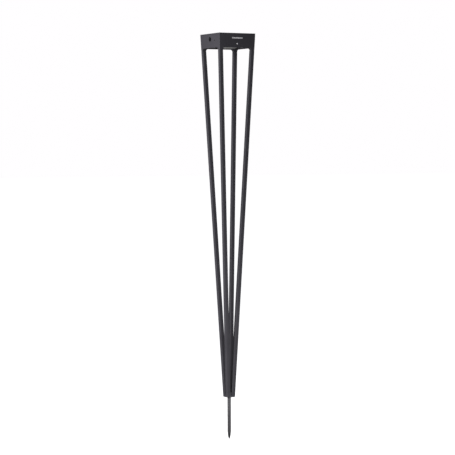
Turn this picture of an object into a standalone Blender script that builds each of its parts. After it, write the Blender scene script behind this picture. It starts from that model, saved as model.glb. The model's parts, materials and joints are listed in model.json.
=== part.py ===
"""Solar garden torch: a shallow square lamp head on four straight legs that close in on a small foot,
with a ground spike screwed up into the foot. Metres, +Z up. The origin is on the spike's axis at the
foot's underside, which is the ground line. The front is -Y, and the push button is on the -X side.

The lamp module lifts out of the head collar, its button pushes in, and the spike unscrews.
"""

import math

import bmesh
import bpy
from mathutils import Matrix, Vector

# Driving dimensions of the frame
HEAD_SIDE = 0.125
FOOT_SIDE = 0.0274
FRAME_HEIGHT = 1.118
HEAD_HEIGHT = 0.0437
EDGE_RADIUS = 0.0008
LEG_SIDE = 0.0117
LEG_WALL = 0.0012
COLLAR_WALL = 0.0025
STUB_LENGTH = 0.007
PAD_THICKNESS = 0.0030
FOOT_HEIGHT = 0.014
FOOT_CHAMFER = 0.0008
GROOVE_BASE = 0.005
GROOVE_DEPTH = 0.0035
PLUG_LENGTH = 0.020

# Ground spike
SPIKE_LENGTH = 0.130
SPIKE_RADIUS = 0.0053
SPIKE_POINT = 0.021
SPIKE_TIP_RADIUS = 0.0032
SPIKE_TIP_LENGTH = 0.0058
SPIKE_TIP_BLUNT = 0.0010
STUD_CHAMFER = 0.0008
STUD_RADIUS = 0.004
STUD_LENGTH = 0.0105
SOCKET_DEPTH = 0.012
WASHER_RADIUS = 0.0067
WASHER_THICKNESS = 0.0015

# What the head's sides carry
BUTTON_DROP = 0.0175
BUTTON_OFFSET = 0.0
BUTTON_RADIUS = 0.0071
BUTTON_HOLE_RADIUS = 0.0074
BUTTON_TRAVEL = 0.0012
BUTTON_FLANGE = 0.0014
BUTTON_STEM_RADIUS = 0.0018
LOCK_DROP = 0.022
LOCK_OFFSET = -0.030
LOCK_RADIUS = 0.0021
LENS_DROP = 0.0325
LENS_RADIUS = 0.0024
LENS_DOME = 0.0003
SIDE_HOLE_REACH = 0.006

# Lamp module
BEZEL_HEIGHT = 0.003
BEZEL_CHAMFER = 0.0004
GLASS_DEPTH = 0.002
GLASS_HALF = 0.0557
CELLS_HALF = 0.0497
CELLS_SINK = 0.0004
GASKET_THICKNESS = 0.0005
MODULE_INSET = 0.0031
HOUSING_WALL = 0.002
HOUSING_FLOOR = 0.0025
POST_PLACE = 0.0528
POST_RADIUS = 0.004
CELL_RADIUS = 0.0092
CELL_LENGTH = 0.065
CELL_PLACE = 0.046
CELL_MIDDLE = -0.0135
CELL_CAP = (0.003, 0.0008)
CELL_EDGE = 0.0006
CRADLE_HALF = 0.009
CRADLE_END_WALL = 0.002
CRADLE_HEIGHT = 0.0075
BOARD_HALF = 0.050
BOARD_CORNER = 0.012
BOARD_THICKNESS = 0.0016
BOARD_PINS = [(-0.045, -0.034), (-0.044, 0.028), (0.028, -0.045), (0.027, 0.027)]
PIN_RADIUS = 0.00125
PIN_FOOT_RADIUS = 0.003
SWITCH_STROKE = 0.0012
STATUS_LED_HEIGHT = 0.0008
PIPE_HALF = 0.0017
PIPE_PLACE = -0.046
LIGHT_RADIUS = 0.029
WELL_WALL = 0.0056
SEAL_SEAT = 0.0032
SPREADER_THICKNESS = 0.0015
LED_BOARD = (0.014, 0.0016)
LED_CHIP = (0.006, 0.0008)
DIFFUSER_DOME = 0.0016
RING_HEIGHT = 0.0025
RING_SCREW_PLACE = 0.036
RING_SCREW_ANGLES = (-90, 30, 150)
RING_BOSS_RADIUS = 0.003
LEAD_PLACE = 0.011
WIRE_RADIUS = 0.0008

# Screws: radius of the thread, radius of the head
HEAD_SCREW = (0.0020, 0.0034)
FOOT_SCREW = (0.0015, 0.0028)
BEZEL_SCREW = (0.0015, 0.0028)
RING_SCREW = (0.0012, 0.0022)
HEAD_SCREW_INSET = 0.0004
HEAD_SCREW_LENGTH = 0.025
FOOT_SCREW_LENGTH = 0.028
BEZEL_SCREW_LENGTH = 0.0325
RING_SCREW_LENGTH = 0.0085
CAP_HEIGHT = 0.0024
# A flat head's straight edge and the depth of its cone, as shares of head radius less thread radius
FLAT_EDGE = 0.15
FLAT_CONE = 1.15

# Gap between pieces that touch on the real object, and the overlap of shapes that are joined
CLEARANCE = 0.0003
OVERLAP = 0.0006

# Heights worked out from the driving dimensions
TAPER = (HEAD_SIDE - FOOT_SIDE) / 2 / FRAME_HEIGHT
HEAD_BASE = FRAME_HEIGHT - HEAD_HEIGHT
STUB_BASE = HEAD_BASE - STUB_LENGTH
PAD_TOP = HEAD_BASE + PAD_THICKNESS
BEZEL_BASE = FRAME_HEIGHT - BEZEL_HEIGHT
COLLAR_TOP = BEZEL_BASE - CLEARANCE
GASKET_TOP = BEZEL_BASE - CLEARANCE
HOUSING_TOP = GASKET_TOP - GASKET_THICKNESS - CLEARANCE
HOUSING_BASE = PAD_TOP + 0.001
FLOOR_TOP = HOUSING_BASE + HOUSING_FLOOR
WELL_TOP = FLOOR_TOP + 0.009
CELL_HEIGHT = FLOOR_TOP + 0.0112
BOARD_BASE = FLOOR_TOP + 0.023
BOARD_TOP = BOARD_BASE + BOARD_THICKNESS
POST_TOP = FLOOR_TOP + 0.0262
BUTTON_HEIGHT = FRAME_HEIGHT - BUTTON_DROP
LOCK_HEIGHT = FRAME_HEIGHT - LOCK_DROP
LENS_HEIGHT = FRAME_HEIGHT - LENS_DROP
GLASS_SEAT = FRAME_HEIGHT - GLASS_DEPTH
CELLS_BASE = BEZEL_BASE - CELLS_SINK
RING_BASE = HOUSING_BASE - RING_HEIGHT
DIFFUSER_TOP = FLOOR_TOP - 0.001
SEAT_TOP = FLOOR_TOP + 0.0005
RING_BOSS_TOP = FLOOR_TOP + 0.005
BEZEL_SCREW_BASE = HOUSING_BASE + 0.0008
BOSS_RADIUS = BEZEL_SCREW[1] + 0.0006
FACE_TILT = math.atan(TAPER)

CORNERS = {
    "front_left": (-1, -1),
    "front_right": (1, -1),
    "rear_left": (-1, 1),
    "rear_right": (1, 1),
}
ROUND_STEPS = 32
SCREW_STEPS = 16
CORNER_STEPS = 3


# ---------------------------------------------------------------- shapes

def outer_half(height):
    """Half the width of the torch's outer faces at this height."""
    return FOOT_SIDE / 2 + TAPER * height


def leg_centre(height):
    """Distance of a leg's middle from the torch's axis, along X and along Y."""
    return outer_half(height) - LEG_SIDE / 2


HEAD_SCREW_PLACE = leg_centre(STUB_BASE) - HEAD_SCREW_INSET
FOOT_SCREW_PLACE = leg_centre(FOOT_HEIGHT)
RING_SCREWS = [
    (RING_SCREW_PLACE * math.cos(math.radians(angle)), RING_SCREW_PLACE * math.sin(math.radians(angle)))
    for angle in RING_SCREW_ANGLES
]


def square_ring(half, height, radius, centre=(0.0, 0.0), steps=CORNER_STEPS):
    """Points of a horizontal square with rounded corners, anticlockwise."""
    points = []
    for corner in range(4):
        start = math.radians(90 * corner)
        diagonal = start + math.radians(45)
        middle_x = centre[0] + math.copysign(half - radius, math.cos(diagonal))
        middle_y = centre[1] + math.copysign(half - radius, math.sin(diagonal))
        for step in range(steps + 1):
            turn = start + math.radians(90) * step / steps
            x = middle_x + radius * math.cos(turn)
            y = middle_y + radius * math.sin(turn)
            points.append((x, y, height))
    return points


def loft(rings, closed=False):
    """A mesh through rings of equal length: a solid with two caps, or a closed frame."""
    bm = bmesh.new()
    loops = [[bm.verts.new(point) for point in ring] for ring in rings]
    pairs = list(zip(loops, loops[1:]))
    if closed:
        pairs.append((loops[-1], loops[0]))
    else:
        bm.faces.new(loops[0][::-1])
        bm.faces.new(loops[-1])
    for lower, upper in pairs:
        for index, vertex in enumerate(lower):
            after = (index + 1) % len(lower)
            bm.faces.new((vertex, lower[after], upper[after], upper[index]))
    bmesh.ops.recalc_face_normals(bm, faces=bm.faces)
    return bm


def turned(profile, steps=ROUND_STEPS, ring=False):
    """A mesh turned about Z from (radius, height) points. A ring's profile closes on itself."""
    bm = bmesh.new()
    verts = [bm.verts.new((radius, 0.0, height)) for radius, height in profile]
    edges = [bm.edges.new(pair) for pair in zip(verts, verts[1:])]
    if ring:
        edges.append(bm.edges.new((verts[-1], verts[0])))
    bmesh.ops.spin(bm, geom=verts + edges, cent=(0, 0, 0), axis=(0, 0, 1), angle=math.tau, steps=steps)
    bmesh.ops.remove_doubles(bm, verts=bm.verts, dist=1e-6)
    bmesh.ops.recalc_face_normals(bm, faces=bm.faces)
    return bm


def prism(outline, low, high):
    """A solid from a horizontal outline of (x, y) points, between two heights."""
    return loft([[(x, y, low) for x, y in outline], [(x, y, high) for x, y in outline]])


def block(low, high):
    """A box between two corners."""
    outline = [(low[0], low[1]), (high[0], low[1]), (high[0], high[1]), (low[0], high[1])]
    return prism(outline, low[2], high[2])


def rod(radius, low, high, steps=ROUND_STEPS):
    """An upright round bar between two heights."""
    return turned([(0, high), (radius, high), (radius, low), (0, low)], steps)


def tube(outer, inner, low, high, steps=ROUND_STEPS):
    """An upright round tube between two heights."""
    return turned([(outer, high), (outer, low), (inner, low), (inner, high)], steps, ring=True)


def moved(bm, offset=(0.0, 0.0, 0.0), turn=Matrix.Identity(4)):
    """The same mesh, turned or mirrored about the origin and then shifted."""
    bmesh.ops.transform(bm, matrix=Matrix.Translation(offset) @ turn, verts=bm.verts)
    if turn.determinant() < 0:
        bmesh.ops.reverse_faces(bm, faces=bm.faces)
    return bm


def joined(parts):
    """Several meshes in one, for use as a single cutter or a set of shapes to add."""
    whole = bmesh.new()
    for part in parts:
        mesh = bpy.data.meshes.new("joined")
        part.to_mesh(mesh)
        part.free()
        whole.from_mesh(mesh)
        bpy.data.meshes.remove(mesh)
    return whole


ALONG_X = Matrix.Rotation(math.radians(90), 4, "Y")
ALONG_Y = Matrix.Rotation(math.radians(-90), 4, "X")
TO_REAR = Matrix(((0, 1, 0, 0), (1, 0, 0, 0), (0, 0, 1, 0), (0, 0, 0, 1)))


# ---------------------------------------------------------------- objects

def material(name, colour, roughness, metallic=0.0, transmission=0.0):
    """A Principled material."""
    made = bpy.data.materials.new(name)
    made.use_nodes = True
    shader = made.node_tree.nodes["Principled BSDF"]
    shader.inputs["Base Color"].default_value = (*colour, 1.0)
    shader.inputs["Roughness"].default_value = roughness
    shader.inputs["Metallic"].default_value = metallic
    shader.inputs["Transmission Weight"].default_value = transmission
    made.diffuse_color = (*colour, 1.0)
    return made


def empty(name, place, parent=None):
    """An empty on a moving body's joint axis."""
    made = bpy.data.objects.new(name, None)
    bpy.context.scene.collection.objects.link(made)
    made.parent = parent
    made.location = Vector(place) - (world_place(parent) if parent else Vector())
    return made


def world_place(holder):
    """Where an empty stands, added up through its parents."""
    place = Vector()
    while holder:
        place += holder.location
        holder = holder.parent
    return place


def shape(name, bm, finish, holder, smooth=True):
    """An object from a mesh in world coordinates, with its origin at its holder."""
    bmesh.ops.translate(bm, vec=-world_place(holder), verts=bm.verts)
    mesh = bpy.data.meshes.new(name)
    bm.to_mesh(mesh)
    bm.free()
    made = bpy.data.objects.new(name, mesh)
    bpy.context.scene.collection.objects.link(made)
    made.parent = holder
    if finish:
        mesh.materials.append(finish)
    if smooth:
        mesh.shade_smooth()
        mesh.set_sharp_from_angle(angle=math.radians(35))
    return made


def helper(name, bm, holder):
    """A hidden shape that cuts or extends another."""
    made = shape(name, bm, None, holder, smooth=False)
    made.hide_render = True
    made.display_type = "WIRE"
    return made


def boolean(target, name, bm, operation):
    """Cuts a mesh out of an object, or adds it."""
    modifier = target.modifiers.new(name, "BOOLEAN")
    modifier.operation = operation
    modifier.solver = "EXACT"
    modifier.object = helper(f"{target.name}_{name}", bm, target.parent)


def cut(target, name, bm):
    """Cuts a mesh out of an object."""
    boolean(target, name, bm, "DIFFERENCE")


def add(target, name, bm):
    """Joins a mesh onto an object."""
    boolean(target, name, bm, "UNION")


def smooth_route(points, spacing):
    """Points about this far apart on a Catmull-Rom curve through the route's own points."""
    through = [Vector(point) for point in points]
    padded = [2 * through[0] - through[1], *through, 2 * through[-1] - through[-2]]
    route = []
    for before, start, end, after in zip(padded, padded[1:], padded[2:], padded[3:]):
        count = max(1, round((end - start).length / spacing))
        for step in range(count):
            t = step / count
            bend = 2 * before - 5 * start + 4 * end - after
            twist = 3 * (start - end) + after - before
            route.append((2 * start + (end - before) * t + bend * t * t + twist * t ** 3) / 2)
    return [*route, through[-1]]


def wire(name, points, finish, holder):
    """A round insulated lead along a route."""
    route = smooth_route(points, 2.5 * WIRE_RADIUS)
    curve = bpy.data.curves.new(name, "CURVE")
    curve.dimensions = "3D"
    curve.bevel_depth = WIRE_RADIUS
    curve.bevel_resolution = 2
    curve.use_fill_caps = True
    spline = curve.splines.new("POLY")
    spline.points.add(len(route) - 1)
    offset = world_place(holder)
    for point, place in zip(spline.points, route):
        point.co = (*(place - offset), 1.0)
    curve.materials.append(finish)
    made = bpy.data.objects.new(name, curve)
    bpy.context.scene.collection.objects.link(made)
    made.parent = holder


# ---------------------------------------------------------------- screws

def flat_screw(name, size, top, length, place, holder, finish, upward=False):
    """A countersunk screw with a hex socket. Its head's flat face is at top, or below it if upward."""
    thread, head = size
    depth = head - thread
    bm = turned([
        (0, 0),
        (head, 0),
        (head, -depth * FLAT_EDGE),
        (thread, -depth * FLAT_CONE),
        (thread, -length),
        (0, -length),
    ], SCREW_STEPS)
    socket = rod(thread * 0.75, -depth, OVERLAP, 6)
    turn = Matrix.Rotation(math.pi, 4, "X") if upward else Matrix.Identity(4)
    offset = (*place, top)
    made = shape(name, moved(bm, offset, turn), finish, holder)
    cut(made, "socket", moved(socket, offset, turn))


def flat_screw_hole(size, top, depth, place, upward=False):
    """The clearance hole and countersink for a flat screw."""
    thread, head = size
    drop = head - thread
    wide = head + CLEARANCE
    narrow = thread + CLEARANCE
    bm = turned([
        (0, OVERLAP),
        (wide, OVERLAP),
        (wide, -drop * FLAT_EDGE),
        (narrow, -drop * FLAT_CONE),
        (narrow, -depth),
        (0, -depth),
    ], SCREW_STEPS)
    turn = Matrix.Rotation(math.pi, 4, "X") if upward else Matrix.Identity(4)
    return moved(bm, (*place, top), turn)


def cap_screw(name, place, holder, finish):
    """A bezel screw: it points up, with a round head and a hex socket in its underside."""
    thread, head = BEZEL_SCREW
    length = BEZEL_SCREW_LENGTH
    bm = turned([
        (0, length),
        (thread, length),
        (thread, CAP_HEIGHT),
        (head, CAP_HEIGHT),
        (head, 0),
        (0, 0),
    ], SCREW_STEPS)
    offset = (*place, BEZEL_SCREW_BASE)
    made = shape(name, moved(bm, offset), finish, holder)
    cut(made, "socket", moved(rod(thread * 0.8, -OVERLAP, CAP_HEIGHT * 0.6, 6), offset))


# ---------------------------------------------------------------- frame

def leg_rings(half, low, high, signs, radius):
    """Two squares of one leg's cross-section, which lean with the torch's faces."""
    rings = []
    for height in (low, high):
        centre = leg_centre(height)
        rings.append(square_ring(half, height, radius, (signs[0] * centre, signs[1] * centre)))
    return rings


def leg(name, signs, finish, holder):
    """A square tube, flush with the torch's outer faces."""
    low = FOOT_HEIGHT + CLEARANCE
    high = STUB_BASE - CLEARANCE
    outside = leg_rings(LEG_SIDE / 2, low, high, signs, EDGE_RADIUS)
    inside = leg_rings(LEG_SIDE / 2 - LEG_WALL, low, high, signs, EDGE_RADIUS / 2)
    shape(name, loft([outside[0], outside[1], inside[1], inside[0]], closed=True), finish, holder)


def leg_plug(name, signs, low, high, hole_place, hole_radius, finish, holder):
    """A threaded block fixed in a leg's end."""
    half = LEG_SIDE / 2 - LEG_WALL - CLEARANCE
    made = shape(name, loft(leg_rings(half, low, high, signs, EDGE_RADIUS / 2)), finish, holder)
    place = (signs[0] * hole_place, signs[1] * hole_place, 0)
    cut(made, "thread", moved(rod(hole_radius, low - OVERLAP, high + OVERLAP, SCREW_STEPS), place))


def opening_profile(top, radius, low):
    """Outline of the gap between two legs under the head: (across, height) with rounded top corners."""
    width = outer_half(top) - LEG_SIDE
    points = [(-width, low), (-width, top - radius)]
    steps = 6
    for step in range(1, steps + 1):
        turn = math.radians(90) * step / steps
        points.append((-width + radius - radius * math.cos(turn), top - radius + radius * math.sin(turn)))
    return points + [(-across, height) for across, height in reversed(points)]


def head_opening(along):
    """A tunnel through the head's lower edge between the legs, along X or along Y."""
    reach = HEAD_SIDE
    outline = opening_profile(HEAD_BASE, STUB_LENGTH, STUB_BASE - OVERLAP)
    rings = []
    for end in (-reach, reach):
        if along == "X":
            rings.append([(end, across, height) for across, height in outline])
        else:
            rings.append([(across, end, height) for across, height in outline])
    return loft(rings)


def head_collar(finish, holder):
    """The sleeve that the lamp module stands in, with a pad and a leg stub at each corner."""
    top = COLLAR_TOP
    body = loft([
        square_ring(outer_half(STUB_BASE), STUB_BASE, EDGE_RADIUS),
        square_ring(outer_half(top), top, EDGE_RADIUS),
    ])
    made = shape("head_collar", body, finish, holder)
    above = FRAME_HEIGHT
    cut(made, "cavity", loft([
        square_ring(outer_half(PAD_TOP) - COLLAR_WALL, PAD_TOP, EDGE_RADIUS / 2),
        square_ring(outer_half(above) - COLLAR_WALL, above, EDGE_RADIUS / 2),
    ]))
    cut(made, "opening_x", head_opening("X"))
    cut(made, "opening_y", head_opening("Y"))
    pad_edge = outer_half(HEAD_BASE) - LEG_SIDE - STUB_LENGTH - CLEARANCE
    wall_face = outer_half(HEAD_BASE) - COLLAR_WALL
    low = HEAD_BASE - OVERLAP
    high = PAD_TOP + OVERLAP
    cut(made, "floor_x", block((-wall_face, -pad_edge, low), (wall_face, pad_edge, high)))
    cut(made, "floor_y", block((-pad_edge, -wall_face, low), (pad_edge, wall_face, high)))
    through = PAD_TOP - STUB_BASE + OVERLAP
    cut(made, "screw_holes", joined([
        flat_screw_hole(HEAD_SCREW, PAD_TOP, through, (x * HEAD_SCREW_PLACE, y * HEAD_SCREW_PLACE))
        for x, y in CORNERS.values()
    ]))
    hole = rod(BUTTON_HOLE_RADIUS, -SIDE_HOLE_REACH, SIDE_HOLE_REACH)
    place = (-outer_half(BUTTON_HEIGHT), BUTTON_OFFSET, BUTTON_HEIGHT)
    cut(made, "button_hole", moved(hole, place, ALONG_X))
    hole = rod(LOCK_RADIUS + CLEARANCE, -SIDE_HOLE_REACH, SIDE_HOLE_REACH, SCREW_STEPS)
    cut(made, "lock_hole", moved(hole, (-outer_half(LOCK_HEIGHT), LOCK_OFFSET, LOCK_HEIGHT), ALONG_X))
    hole = rod(LENS_RADIUS + CLEARANCE, -SIDE_HOLE_REACH, SIDE_HOLE_REACH, SCREW_STEPS)
    cut(made, "lens_hole", moved(hole, (0, -outer_half(LENS_HEIGHT), LENS_HEIGHT), ALONG_Y))


def foot_block(finish, holder):
    """The block under the legs: grooved on its four sides, with the spike's threaded socket."""
    body = loft([
        square_ring(outer_half(0) - FOOT_CHAMFER, 0, EDGE_RADIUS),
        square_ring(outer_half(FOOT_CHAMFER), FOOT_CHAMFER, EDGE_RADIUS),
        square_ring(outer_half(FOOT_HEIGHT), FOOT_HEIGHT, EDGE_RADIUS),
    ])
    made = shape("foot_block", body, finish, holder)
    half_gap = outer_half(FOOT_HEIGHT) - LEG_SIDE
    bottom = outer_half(FOOT_HEIGHT) - GROOVE_DEPTH
    top = FOOT_HEIGHT + OVERLAP
    grooves = []
    for side in (-1, 1):
        ends = sorted((side * bottom, side * FOOT_SIDE))
        grooves.append(block((ends[0], -half_gap, GROOVE_BASE), (ends[1], half_gap, top)))
        grooves.append(block((-half_gap, ends[0], GROOVE_BASE), (half_gap, ends[1], top)))
    cut(made, "grooves", joined(grooves))
    cut(made, "socket", rod(STUD_RADIUS + CLEARANCE, -OVERLAP, SOCKET_DEPTH, 24))
    place = FOOT_SCREW_PLACE
    cut(made, "screw_holes", joined([
        flat_screw_hole(FOOT_SCREW, 0, top, (x * place, y * place), upward=True)
        for x, y in CORNERS.values()
    ]))


def status_lens(finish, holder):
    """A small clear lens in the front wall of the collar."""
    inner = COLLAR_WALL - CLEARANCE / 2
    bm = turned([
        (0, LENS_DOME),
        (LENS_RADIUS * 0.6, LENS_DOME * 0.65),
        (LENS_RADIUS, -LENS_DOME * 0.35),
        (LENS_RADIUS, -inner),
        (0, -inner),
    ], SCREW_STEPS)
    outward = Matrix.Rotation(math.radians(90) + FACE_TILT, 4, "X")
    shape("status_lens", moved(bm, (0, -outer_half(LENS_HEIGHT), LENS_HEIGHT), outward), finish, holder)


def lock_screw(finish, holder):
    """The set screw that holds the module in the collar, sunk in the wall."""
    length = COLLAR_WALL - CLEARANCE
    bm = turned([(0, 0), (LOCK_RADIUS, 0), (LOCK_RADIUS, length), (0, length)], SCREW_STEPS)
    place = (-outer_half(LOCK_HEIGHT) + CLEARANCE, LOCK_OFFSET, LOCK_HEIGHT)
    made = shape("lock_screw", moved(bm, place, ALONG_X), finish, holder)
    cut(made, "socket", moved(rod(LOCK_RADIUS * 0.55, -OVERLAP, length * 0.6, 6), place, ALONG_X))


# ---------------------------------------------------------------- ground spike

def spike_washer(finish, holder):
    """The washer between the spike's shoulder and the foot."""
    top = -CLEARANCE
    bm = tube(WASHER_RADIUS, STUD_RADIUS + CLEARANCE, top - WASHER_THICKNESS, top)
    shape("spike_washer", bm, finish, holder)


def ground_spike(finish, holder):
    """A pointed round bar with a threaded stud on top."""
    shoulder = -WASHER_THICKNESS - 2 * CLEARANCE
    point = -SPIKE_LENGTH + SPIKE_POINT
    bm = turned([
        (0, STUD_LENGTH),
        (STUD_RADIUS - STUD_CHAMFER, STUD_LENGTH),
        (STUD_RADIUS, STUD_LENGTH - STUD_CHAMFER),
        (STUD_RADIUS, shoulder),
        (SPIKE_RADIUS, shoulder),
        (SPIKE_RADIUS, point),
        (SPIKE_TIP_RADIUS, -SPIKE_LENGTH + SPIKE_TIP_LENGTH),
        (SPIKE_TIP_BLUNT, -SPIKE_LENGTH + SPIKE_TIP_BLUNT / 2),
        (0, -SPIKE_LENGTH),
    ])
    shape("ground_spike", bm, finish, holder)


# ---------------------------------------------------------------- lamp module: casing

def module_half(height):
    """Half the width of the module's outer faces at this height."""
    return outer_half(height) - MODULE_INSET


def top_bezel(finish, holder):
    """The frame around the solar glass, which lies on the collar's rim, with four screw bosses under it."""
    rim = FRAME_HEIGHT - BEZEL_CHAMFER
    recess = GLASS_HALF + CLEARANCE
    opening = CELLS_HALF + CLEARANCE
    body = loft([
        square_ring(outer_half(BEZEL_BASE), BEZEL_BASE, EDGE_RADIUS),
        square_ring(outer_half(rim), rim, EDGE_RADIUS),
        square_ring(outer_half(rim) - BEZEL_CHAMFER, FRAME_HEIGHT, EDGE_RADIUS),
        square_ring(recess, FRAME_HEIGHT, EDGE_RADIUS),
        square_ring(recess, GLASS_SEAT, EDGE_RADIUS),
        square_ring(opening, GLASS_SEAT, EDGE_RADIUS),
        square_ring(opening, BEZEL_BASE, EDGE_RADIUS),
    ], closed=True)
    made = shape("top_bezel", body, finish, holder)
    low = POST_TOP + CLEARANCE
    for name, (x, y) in CORNERS.items():
        place = (x * POST_PLACE, y * POST_PLACE, 0)
        add(made, f"boss_{name}", moved(rod(BOSS_RADIUS, low, BEZEL_BASE + OVERLAP, 20), place))
    hole = BEZEL_SCREW[0] + CLEARANCE
    cut(made, "threads", joined([
        moved(rod(hole, low - OVERLAP, low + 0.0055, SCREW_STEPS), (x * POST_PLACE, y * POST_PLACE, 0))
        for x, y in CORNERS.values()
    ]))


def solar_panel(glass, cell_finish, holder):
    """The cover glass, let into the bezel, and the laminate of cells under it."""
    top = FRAME_HEIGHT - CLEARANCE
    ground = CLEARANCE
    shape("solar_glass", loft([
        square_ring(GLASS_HALF, GLASS_SEAT + CLEARANCE, EDGE_RADIUS),
        square_ring(GLASS_HALF, top - ground, EDGE_RADIUS),
        square_ring(GLASS_HALF - ground, top, EDGE_RADIUS),
    ]), glass, holder)
    shape("solar_cells", loft([
        square_ring(CELLS_HALF, CELLS_BASE, EDGE_RADIUS),
        square_ring(CELLS_HALF, GLASS_SEAT, EDGE_RADIUS),
    ]), cell_finish, holder)


def bezel_gasket(finish, holder):
    """The flat rubber ring between the housing's rim and the bezel."""
    low = GASKET_TOP - GASKET_THICKNESS
    outer = module_half(HOUSING_TOP) - CLEARANCE
    inner = POST_PLACE + BOSS_RADIUS + CLEARANCE
    shape("bezel_gasket", loft([
        square_ring(outer, low, EDGE_RADIUS),
        square_ring(outer, GASKET_TOP, EDGE_RADIUS),
        square_ring(inner, GASKET_TOP, EDGE_RADIUS / 2),
        square_ring(inner, low, EDGE_RADIUS / 2),
    ], closed=True), finish, holder)


def module_housing(finish, holder):
    """The tray that holds the lamp's inner parts: posts, board pins, light well and windows."""
    body = loft([
        square_ring(module_half(HOUSING_BASE), HOUSING_BASE, EDGE_RADIUS),
        square_ring(module_half(HOUSING_TOP), HOUSING_TOP, EDGE_RADIUS),
        square_ring(module_half(HOUSING_TOP) - HOUSING_WALL, HOUSING_TOP, EDGE_RADIUS / 2),
        square_ring(module_half(FLOOR_TOP) - HOUSING_WALL, FLOOR_TOP, EDGE_RADIUS / 2),
    ])
    made = shape("module_housing", body, finish, holder)
    sunk = FLOOR_TOP - OVERLAP
    for name, (x, y) in CORNERS.items():
        post = rod(POST_RADIUS, sunk, POST_TOP, 20)
        add(made, f"post_{name}", moved(post, (x * POST_PLACE, y * POST_PLACE, 0)))
    pin_top = BOARD_TOP + BOARD_THICKNESS / 2
    for index, (x, y) in enumerate(BOARD_PINS):
        pin = turned([
            (0, pin_top),
            (PIN_RADIUS, pin_top),
            (PIN_RADIUS, BOARD_BASE - CLEARANCE),
            (PIN_FOOT_RADIUS, BOARD_BASE - CLEARANCE),
            (PIN_FOOT_RADIUS, sunk),
            (0, sunk),
        ], SCREW_STEPS)
        add(made, f"board_pin_{index + 1}", moved(pin, (x, y, 0)))
    for index, (x, y) in enumerate(RING_SCREWS):
        boss = rod(RING_BOSS_RADIUS, sunk, RING_BOSS_TOP, SCREW_STEPS)
        add(made, f"ring_boss_{index + 1}", moved(boss, (x, y, 0)))
    add(made, "light_well", rod(LIGHT_RADIUS + WELL_WALL, sunk, WELL_TOP, 48))
    seat = LIGHT_RADIUS + SEAL_SEAT
    cut(made, "light_opening", turned([
        (0, WELL_TOP + OVERLAP),
        (LIGHT_RADIUS, WELL_TOP + OVERLAP),
        (LIGHT_RADIUS, SEAT_TOP),
        (seat, SEAT_TOP),
        (seat, HOUSING_BASE - OVERLAP),
        (0, HOUSING_BASE - OVERLAP),
    ], 48))
    thread = BEZEL_SCREW[0] + CLEARANCE
    head = BEZEL_SCREW[1] + CLEARANCE
    shoulder = BEZEL_SCREW_BASE + CAP_HEIGHT + CLEARANCE
    cut(made, "post_holes", joined([
        moved(turned([
            (0, POST_TOP + OVERLAP),
            (thread, POST_TOP + OVERLAP),
            (thread, shoulder),
            (head, shoulder),
            (head, HOUSING_BASE - OVERLAP),
            (0, HOUSING_BASE - OVERLAP),
        ], SCREW_STEPS), (x * POST_PLACE, y * POST_PLACE, 0))
        for x, y in CORNERS.values()
    ]))
    thread = RING_SCREW[0] + CLEARANCE
    cut(made, "ring_holes", joined([
        moved(rod(thread, HOUSING_BASE - OVERLAP, RING_BOSS_TOP - CLEARANCE, SCREW_STEPS), (x, y, 0))
        for x, y in RING_SCREWS
    ]))
    depth = 2 * HOUSING_WALL
    wall_x = module_half(BUTTON_HEIGHT) - HOUSING_WALL / 2
    hole = rod(BUTTON_RADIUS + CLEARANCE, -depth, depth)
    cut(made, "button_hole", moved(hole, (-wall_x, BUTTON_OFFSET, BUTTON_HEIGHT), ALONG_X))
    wall_y = module_half(LENS_HEIGHT) - HOUSING_WALL / 2
    hole = rod(PIPE_HALF * math.sqrt(2) + CLEARANCE, -depth, depth, SCREW_STEPS)
    cut(made, "pipe_hole", moved(hole, (0, -wall_y, LENS_HEIGHT), ALONG_Y))


# ---------------------------------------------------------------- lamp module: power and control

def battery_cradle(name, turn, finish, holder):
    """A trough that one battery cell lies in, along Y before it is turned."""
    low = FLOOR_TOP + CLEARANCE
    high = FLOOR_TOP + CRADLE_HEIGHT
    reach = CELL_LENGTH / 2 + CLEARANCE
    length = reach + CRADLE_END_WALL
    body = block((CELL_PLACE - CRADLE_HALF, CELL_MIDDLE - length, low),
                 (CELL_PLACE + CRADLE_HALF, CELL_MIDDLE + length, high))
    made = shape(name, moved(body, turn=turn), finish, holder)
    bed = rod(CELL_RADIUS + CLEARANCE, -reach, reach, 40)
    bed = moved(bed, (CELL_PLACE, CELL_MIDDLE, CELL_HEIGHT), ALONG_Y)
    cut(made, "bed", moved(bed, turn=turn))


def battery_cell(name, turn, finish, holder):
    """A round rechargeable cell with its positive cap towards the board's corner."""
    half = CELL_LENGTH / 2
    cap_radius, cap_height = CELL_CAP
    rim = half - cap_height
    bm = turned([
        (0, half),
        (cap_radius, half),
        (cap_radius, rim),
        (CELL_RADIUS - CELL_EDGE, rim),
        (CELL_RADIUS, rim - CELL_EDGE),
        (CELL_RADIUS, CELL_EDGE - half),
        (CELL_RADIUS - CELL_EDGE, -half),
        (0, -half),
    ])
    bm = moved(bm, (CELL_PLACE, CELL_MIDDLE, CELL_HEIGHT), ALONG_Y)
    shape(name, moved(bm, turn=turn), finish, holder)


def control_board(finish, holder):
    """The circuit board over the batteries, with its corners cut for the housing's posts."""
    outline = []
    for x, y in ((1, 1), (-1, 1), (-1, -1), (1, -1)):
        near_x = (x * BOARD_HALF, y * (BOARD_HALF - BOARD_CORNER))
        near_y = (x * (BOARD_HALF - BOARD_CORNER), y * BOARD_HALF)
        outline += [near_x, near_y] if x == y else [near_y, near_x]
    made = shape("control_board", prism(outline, BOARD_BASE, BOARD_TOP), finish, holder)
    hole = PIN_RADIUS + CLEARANCE
    cut(made, "pin_holes", joined([
        moved(rod(hole, BOARD_BASE - OVERLAP, BOARD_TOP + OVERLAP, SCREW_STEPS), (x, y, 0))
        for x, y in BOARD_PINS
    ]))


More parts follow.
